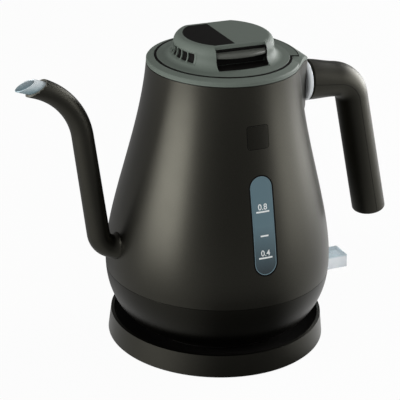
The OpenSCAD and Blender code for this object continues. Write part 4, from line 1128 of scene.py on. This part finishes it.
class KETTLE_OT_lid(bpy.types.Operator):
    """Lid with its raised middle, finger recesses, tab, grille and bare plate"""

    bl_idname = "kettle.lid"
    bl_label = "Lid"

    def execute(self, context):
        _, s, _, c = settings(context)
        cap = self.solid("lid_cap", s)
        hollow = spun("lid_hollow", self.inside(s), 128)
        for turn in (-1, 1):
            combine(hollow, self.recess(s, turn, s.lid_wall))
        combine(cap, hollow)
        combine(cap, self.tab(s), "UNION")
        for turn in (-1, 1):
            combine(cap, self.recess(s, turn, 0))
            combine(cap, self.button_hole(s, turn))
        half = s.vent_pitch * s.vent_count / 2 + math.radians(2)
        combine(cap, ring_part("vent_hole", (s.puck_r - 8 * MM, s.puck_r + s.flare_w),
                               (s.vent_z0 - 0.15 * MM, s.vent_z1 + 0.15 * MM), math.pi,
                               half + math.radians(0.25)))
        drop_empty(soften(cap, 0.45, 2))
        dress(cap, "lid", moulded_green(c), ["lid_shell"])
        for turn in (-1, 1):
            self.recess_shade(s, c, turn)
        self.gaps(s, c)
        self.grille(s, c, half)
        self.plate(s, c)
        return {"FINISHED"}

    def solid(self, name, s):
        """Solid of the whole lid."""
        return spun(name, self.outside(s) + [(0, s.lid_z - 1.6 * MM)], FINE_STEPS)

    def shoulder(self, s):
        """Radius where the shoulder starts, height of the waist and height of the shoulder."""
        waist_z = s.lid_z + 0.4 * MM + s.flare_h
        return s.puck_r - s.shoulder_w, waist_z, s.puck_z - waist_z - 1.6 * MM

    def outside(self, s):
        """Outline from the middle of the top down to the underside of the disc."""
        top_r, waist_z, shoulder_h = self.shoulder(s)
        edge_r, edge_z = s.lid_r - 0.4 * MM, s.lid_z - 1.6 * MM
        return ([(0, s.puck_z), (top_r * 0.6, s.puck_z)]
                + arc((top_r, s.puck_z - shoulder_h), s.shoulder_w, shoulder_h, 90, 0, 14)
                + arc((s.puck_r + s.flare_w, waist_z), s.flare_w, s.flare_h, 180, 270, 14)
                + [(edge_r - 0.5 * MM, s.lid_z), (edge_r, s.lid_z - 0.5 * MM), (edge_r, edge_z)])

    def inside(self, s):
        """Outline of the hollow, open below."""
        top_r, waist_z, shoulder_h = self.shoulder(s)
        wall, under = s.lid_wall, s.lid_z - 2.6 * MM
        return ([(0, s.puck_z - wall)]
                + arc((top_r, s.puck_z - shoulder_h), s.shoulder_w - wall, shoulder_h - wall, 90, 0, 10)
                + [(s.puck_r - wall, waist_z - 1.3 * MM), (s.puck_r - 0.4 * MM, under), (0, under)])

    def recess(self, s, turn, liner):
        """Space of a finger recess, with a liner round it."""
        return side_block("recess", turn, s.recess_half_w + liner,
                          (s.recess_d - liner, s.puck_r + s.flare_w * 0.45),
                          (s.lid_z + 0.7 * MM - liner, s.puck_z + 5 * MM))

    def recess_shade(self, s, c, turn):
        """Black sheet of painted shade lining a finger recess, up to a little below the lid's top."""
        wall, half_w, floor_z = 0.35 * MM, s.recess_half_w - 0.02 * MM, s.lid_z + 0.72 * MM
        back, front = s.recess_d + 0.02 * MM, s.puck_r + 0.2 * MM
        recess_shade = side_block("recess_shade_lining", turn, half_w, (back, front), (floor_z, s.puck_z - 2.2 * MM))
        combine(recess_shade, side_block("space", turn, half_w - wall, (back + wall, front + MM),
                                 (floor_z + wall, s.puck_z)))
        combine(recess_shade, self.solid("lid_shape", s), "INTERSECT")
        combine(recess_shade, self.bowed(s, turn, back, front), "INTERSECT")
        combine(recess_shade, self.button_hole(s, turn))
        dress(recess_shade, "lid", matt_black(c))

    def bowed(self, s, turn, back, front):
        """Space of a recess with a bowed front edge and round front corners."""
        bow, corner, half_w = 78 * MM, 3 * MM, s.recess_half_w + 0.1 * MM
        centre = front - bow
        corner_d = centre + math.sqrt((bow - corner) ** 2 - (half_w - corner) ** 2)
        turned = math.degrees(math.atan2(corner_d - centre, half_w - corner))
        outline = [(-half_w, back - MM), (half_w, back - MM),
                   *arc((half_w - corner, corner_d), corner, corner, 0, turned, 8),
                   *arc((0, centre), bow, bow, turned, 180 - turned, 24)[1:-1],
                   *arc((corner - half_w, corner_d), corner, corner, 180 - turned, 180, 8)]
        return prism("bowed", [(x, turn * d, s.lid_z - MM) for x, d in outline],
                     (0, 0, s.puck_z - s.lid_z + 2 * MM))

    def button_hole(self, s, turn):
        """Hole in the back of a recess."""
        return side_block("button_hole", turn, s.recess_half_w, (s.recess_d - 3.2 * MM, s.recess_d + MM),
                          (s.lid_z + 1.7 * MM, s.puck_z - 3.9 * MM))

    def tab(self, s):
        """Tongue of the lid towards the handle."""
        low, high, root, reach = s.lid_z - 1.6 * MM, s.lid_z, s.lid_r - 2 * MM, s.lid_r + 5 * MM
        return spun("tab", [(root, low), (reach, low), (reach, high - 0.5 * MM), (reach - 0.5 * MM, high),
                            (root, high - 0.01 * MM)], 24, 2 * s.tab_angle, -s.tab_angle)

    def gaps(self, s, c):
        """Black lines round the lid's disc and its tab."""
        heights, reach = (s.lid_z - 1.5 * MM, s.lid_z - 0.12 * MM), s.lid_r + 5 * MM
        lines = [ring_part("lid_gap", (s.lid_r - 0.75 * MM, s.mouth_r - 0.1 * MM), heights, math.pi,
                           math.pi - s.tab_angle - math.radians(1), FINE_STEPS),
                 ring_part("tab_gap", (reach - 0.3 * MM, reach + 0.4 * MM), heights, 0, s.tab_angle)]
        for turn in (-1, 1):
            lines.append(ring_part("tab_side_gap", (s.lid_r, reach + 0.4 * MM), heights,
                                   turn * (s.tab_angle + math.radians(0.2)), math.radians(0.5)))
        for line in lines:
            dress(line, "lid", matt_black(c))

    def grille(self, s, c, half):
        """Insert with the steam slots, following the raised middle, and a black back behind it as painted
        shade in the slots.
        """
        edge, slot_half = 0.4 * MM, s.vent_pitch * 0.43
        outer = [p for p in self.outside(s) if s.vent_z0 < p[1] < s.vent_z1 and p[0] > s.puck_r * 0.9]
        outer = [(outer[0][0] - 0.1 * MM, s.vent_z1)] + outer + [(outer[-1][0] + 0.9 * MM, s.vent_z0)]
        inner = [(r - 1.1 * MM, z) for r, z in outer[::-1]]
        span = (48, 2 * half, math.pi - half)
        grille = spun("steam_grille", outer + inner, *span)
        for i in range(s.vent_count):
            middle = math.pi + (i - (s.vent_count - 1) / 2) * s.vent_pitch
            slot = ring_part("slot", (s.puck_r - 9 * MM, s.puck_r + s.flare_w),
                             (s.vent_z0 + edge, s.vent_z1 - edge), middle, slot_half, 4)
            combine(grille, soften(slot, 0.6))
        soften(grille, 0.12, 2)
        dress(grille, "lid", moulded_green(c), ["vent_grille"])
        # Painted shade: a black sheet behind the slots darkens what shows through them.
        back = [(r - 1.2 * MM, z) for r, z in outer] + [(r - 1.6 * MM, z) for r, z in inner]
        dress(spun("vent_shade_back", back, *span), "lid", matt_black(c))

    def plate(self, s, c):
        """Bare half-moon plate on the lid's top."""
        back, radius, half_w, z = -2.3 * MM, 27 * MM, 21.6 * MM, s.puck_z - 0.2 * MM
        span = math.degrees(math.asin(half_w / radius))
        outline = arc((0, 0), radius, radius, 180 - span, 180 + span, 28) + [(back, -half_w), (back, half_w)]
        plate = prism("top_plate", [(x, y, z) for x, y in outline], (0, 0, 0.35 * MM))
        soften(plate, 0.12, 2)
        dress(plate, "lid", matt_black(c))


class KETTLE_OT_buttons(bpy.types.Operator):
    """Pinch buttons with their feet, stems, claws and springs"""

    bl_idname = "kettle.buttons"
    bl_label = "Pinch buttons"

    def execute(self, context):
        _, s, _, c = settings(context)
        # Painted light: the noses take a lit grey copy of the buttons' black.
        grey = finish("bar_lit_grey", c.bar, tint(c.bar, 1.15), 1800, (0.24, 0.32), 0.03)
        for side, turn in (("near", -1), ("far", 1)):
            button = f"{side}_button"
            dress(self.bar(f"{side}_bar", s, turn), button, grey, [button])
            dress(self.foot(f"{side}_bar_foot", s, turn), button, matt_black(c))
            self.coil(c, f"{side}_spring", f"{side}_press")
        return {"FINISHED"}

    def coil(self, c, spring, joint):
        """Spring behind a button, from the lid's middle rib."""
        low, high = (Vector(corner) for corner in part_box(spring))
        wire, turns, press = 0.5 * MM, 5, 3.05 * MM
        inner, outer = sorted((low.y, high.y), key=abs)
        way = math.copysign(1, outer)
        coil = settle(added(spring.replace("spring", "coil"), bpy.ops.mesh.primitive_circle_add, vertices=12,
                            radius=wire, location=((high.x - low.x) / 2 - wire, 0, 0)))
        apply_modifier(coil, "SCREW", axis="Y", iterations=turns, steps=24,
                       screw_offset=(outer - inner - 2 * way * wire) / turns)
        edit(coil)
        bpy.ops.mesh.fill_holes(sides=0)
        bpy.ops.mesh.normals_make_consistent(inside=False)
        bpy.ops.object.mode_set(mode="OBJECT")
        bpy.ops.transform.translate(value=(0, inner + way * wire, (low.z + high.z) / 2))
        dress(coil, "lid", brushed_steel(c), [spring])
        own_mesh(coil)

    def bar(self, name, s, turn):
        """Curved nose of a button, with a round upper edge."""
        back, front, half_w = s.recess_d - 4.2 * MM, s.recess_d + 6.6 * MM, s.recess_half_w - 0.6 * MM
        z1, curve, round_r = s.puck_z - 4.3 * MM, 48 * MM, 1.8 * MM
        z0, root = z1 - 3.2 * MM, curve - 12 * MM
        bar = spun(name, [(root, z0), (curve - 0.6 * MM, z0), (curve - 0.1 * MM, z0 + 0.5 * MM),
                          *arc((curve - round_r, z1 - round_r), round_r, round_r, 0, 90, 8), (root, z1)],
                   64, math.radians(60), math.radians(turn * 90 - 30))
        make_active(bar)
        bpy.ops.transform.translate(value=(0, turn * (front - curve), 0))
        settle(bar)
        space = side_block("bar_space", turn, half_w, (back, front + MM), (z0 - MM, z1 + MM))
        return soften(combine(bar, space, "INTERSECT"), 0.7)

    def foot(self, name, s, turn):
        """Undercut face below the nose, on a stem that ends in a claw."""
        z0, z1, claw_z = s.lid_z + 2.1 * MM, s.puck_z - 7.4 * MM, s.lid_z - 3.8 * MM
        back, face, half_w = s.recess_d - 4.2 * MM, s.recess_d + 0.6 * MM, s.recess_half_w - 0.6 * MM
        foot = side_block(name, turn, half_w, (back, face), (z0, z1))
        soften(foot, 0.5)
        stem = side_block("stem", turn, 6 * MM, (back + 0.02 * MM, back + 1.8 * MM), (claw_z, z0 + MM))
        combine(foot, stem, "UNION")
        claw = side_block("claw", turn, 5 * MM, (back + 0.04 * MM, s.mouth_r - 0.6 * MM),
                          (claw_z - 0.01 * MM, claw_z + 1.6 * MM))
        return combine(foot, claw, "UNION")


class KETTLE_OT_lever(bpy.types.Operator):
    """Clear power lever at the foot of the handle side"""

    bl_idname = "kettle.lever"
    bl_label = "Power lever"

    def execute(self, context):
        _, _, s, c = settings(context)
        pin_x, pin_z, half_w = 66 * MM, s.lever_z + 5 * MM, s.lever_w / 2
        barrel_r, hole_r = 3.8 * MM, 1.56 * MM
        root_x, tip_z = pin_x + 6 * MM, s.lever_z + s.lever_tip_t
        side = [(pin_x, pin_z - 3.3 * MM), (root_x, s.lever_z), (s.lever_x, s.lever_z),
                (s.lever_x - 0.3 * MM, tip_z), (root_x, tip_z), (pin_x, pin_z + 3.3 * MM)]
        lever = prism("lever_paddle", [(x, -half_w, z) for x, z in side], (0, s.lever_w, 0))
        combine(lever, rod("barrel", (pin_x, -half_w, pin_z), (pin_x, half_w, pin_z), barrel_r), "UNION")
        combine(lever, rod("pin_hole", (pin_x, -20 * MM, pin_z), (pin_x, 20 * MM, pin_z), hole_r))
        soften(lever, 0.7)
        pale = finish("clear_plastic", tint(c.clear, 0.95), c.clear, 220, (0.1, 0.14),
                      Transmission_Weight=0.65, IOR=1.46)
        # Painted shade: the lever's upper side fades darker than its front.
        fade_by_height(pale, c.clear, c.clear_top_shade, tip_z - 1.4 * MM, tip_z - 0.2 * MM)
        dress(lever, "power_lever", pale, ["power_lever"])
        return {"FINISHED"}


class KETTLE_OT_badge(bpy.types.Operator):
    """Bare square plate over the gauge"""

    bl_idname = "kettle.badge"
    bl_label = "Badge plate"

    def execute(self, context):
        s, _, _, c = settings(context)
        dark = finish("badge_brown", tint(c.brown, 0.75), tint(c.brown, 0.85), 1800, (0.3, 0.36), 0.02,
                      Metallic=1.0)
        # Painted shade: a black rim a little wider than the plate stands for the shade line round its edge.
        dress(self.patch("badge_shade_rim", s, 7.7 * MM, 0.05 * MM), "kettle", matt_black(c))
        dress(self.patch("badge_plate", s, 7.3 * MM, 0.15 * MM), "kettle", dark)
        return {"FINISHED"}

    def patch(self, name, s, half, lift):
        """Rounded square that lies on the body's wall, lifted a little."""
        inset, z = 5.6 * MM, 163.3 * MM
        corner, y = half - inset, -body_r(s, z) - 4 * MM
        corners = ((1, 1, 0), (-1, 1, 90), (-1, -1, 180), (1, -1, 270))
        reach = half - corner
        outline = [(x, y, h) for sx, sz, first in corners for x, h in
                   arc((sx * reach, z + sz * reach), corner, corner, first, first + 90, 6)]
        patch = drawn(name, outline)
        bpy.ops.mesh.edge_face_add()
        bpy.ops.mesh.inset(thickness=1.2 * MM)
        bpy.ops.mesh.poke()
        clean(patch)
        apply_modifier(patch, "SUBSURF", levels=2, render_levels=2, subdivision_type="SIMPLE")
        return lay_on(patch, bpy.data.objects["body_wall"], lift)


class KETTLE_OT_inside(bpy.types.Operator):
    """Finishes of the pieces that stay as the frame has them"""

    bl_idname = "kettle.inside"
    bl_label = "Inner pieces"

    def execute(self, context):
        _, _, _, c = settings(context)
        white = finish("white_plastic", (0.72, 0.71, 0.68), (0.78, 0.77, 0.74), 2200, (0.5, 0.6), 0.08)
        brass = finish("brass", (0.42, 0.26, 0.07), (0.5, 0.33, 0.1), 900, (0.22, 0.34), 0.05, Metallic=1.0)
        cast = finish("cast_aluminium", (0.36, 0.37, 0.37), (0.46, 0.47, 0.47), 700, (0.4, 0.55), 0.2,
                      Metallic=1.0)
        sheath = finish("element_sheath", (0.07, 0.065, 0.06), (0.1, 0.09, 0.08), 900, (0.45, 0.6), 0.1,
                        Metallic=0.8)
        rubber = finish("rubber", (0.012, 0.012, 0.012), (0.02, 0.02, 0.02), 2600, (0.7, 0.85), 0.2)
        seal = finish("pale_seal", (0.3, 0.32, 0.3), (0.36, 0.38, 0.36), 2000, (0.6, 0.7), 0.1)
        lamp = finish("lamp_lens", (0.55, 0.7, 0.8), (0.6, 0.75, 0.85), 300, (0.1, 0.2),
                      Transmission_Weight=0.5)
        nodes = {
            brushed_steel(c): ("base_screws", "cover_screws", "handle_screws", "lid_screws", "inner_vessel",
                               "lever_pin", "steam_tube", "near_spring", "far_spring"),
            matt_black(c): ("base_plate", "base_connector", "cord_gland", "kettle_connector"),
            moulded_green(c): ("lid_plug",), white: ("control_unit",), brass: ("base_contacts",),
            cast: ("heater_plate",), sheath: ("heating_element",), rubber: ("rubber_feet", "spout_seal"),
            seal: ("vessel_seal", "lid_gasket"), lamp: ("indicator_lamp",),
        }
        for material, names in nodes.items():
            for name in names:
                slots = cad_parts[name].data.materials
                slots.clear()
                slots.append(material)
        return {"FINISHED"}


class KETTLE_PT_panel(bpy.types.Panel):
    """Sizes, finishes and steps of the kettle"""

    bl_idname = "KETTLE_PT_panel"
    bl_label = "Gooseneck kettle"
    bl_space_type = "VIEW_3D"
    bl_region_type = "UI"
    bl_category = "Kettle"

    def draw(self, context):
        for operator in STEPS:
            self.layout.operator(operator.bl_idname)
        for group in GROUPS:
            box = self.layout.box()
            values = getattr(context.scene, group)
            for name in values.__annotations__:
                box.prop(values, name)


GROUPS = {"kettle_body": KettleBodySizes, "kettle_lid": KettleLidSizes, "kettle_arms": KettleArmSizes,
          "kettle_finishes": KettleFinishes, "kettle_stage": KettleStage}
STEPS = (KETTLE_OT_stage, KETTLE_OT_base, KETTLE_OT_body, KETTLE_OT_shoulder, KETTLE_OT_gauge,
         KETTLE_OT_spout, KETTLE_OT_handle, KETTLE_OT_lid, KETTLE_OT_buttons, KETTLE_OT_lever,
         KETTLE_OT_badge, KETTLE_OT_inside)


def register():
    """Registers the classes and the scene's settings."""
    for cls in (*GROUPS.values(), *STEPS, KETTLE_PT_panel):
        bpy.utils.register_class(cls)
    for name, group in GROUPS.items():
        setattr(bpy.types.Scene, name, bpy.props.PointerProperty(type=group))


def unregister():
    """Takes the settings and the classes away again."""
    for name in GROUPS:
        delattr(bpy.types.Scene, name)
    for cls in (KETTLE_PT_panel, *reversed(STEPS), *GROUPS.values()):
        bpy.utils.unregister_class(cls)


def main():
    register()
    bpy.ops.kettle.stage()
    bpy.ops.kettle.base()
    bpy.ops.kettle.body()
    bpy.ops.kettle.shoulder()
    bpy.ops.kettle.gauge()
    bpy.ops.kettle.spout()
    bpy.ops.kettle.handle()
    bpy.ops.kettle.lid()
    bpy.ops.kettle.buttons()
    bpy.ops.kettle.lever()
    bpy.ops.kettle.badge()
    bpy.ops.kettle.inside()
    deselect()


if __name__ == "__main__":
    main()
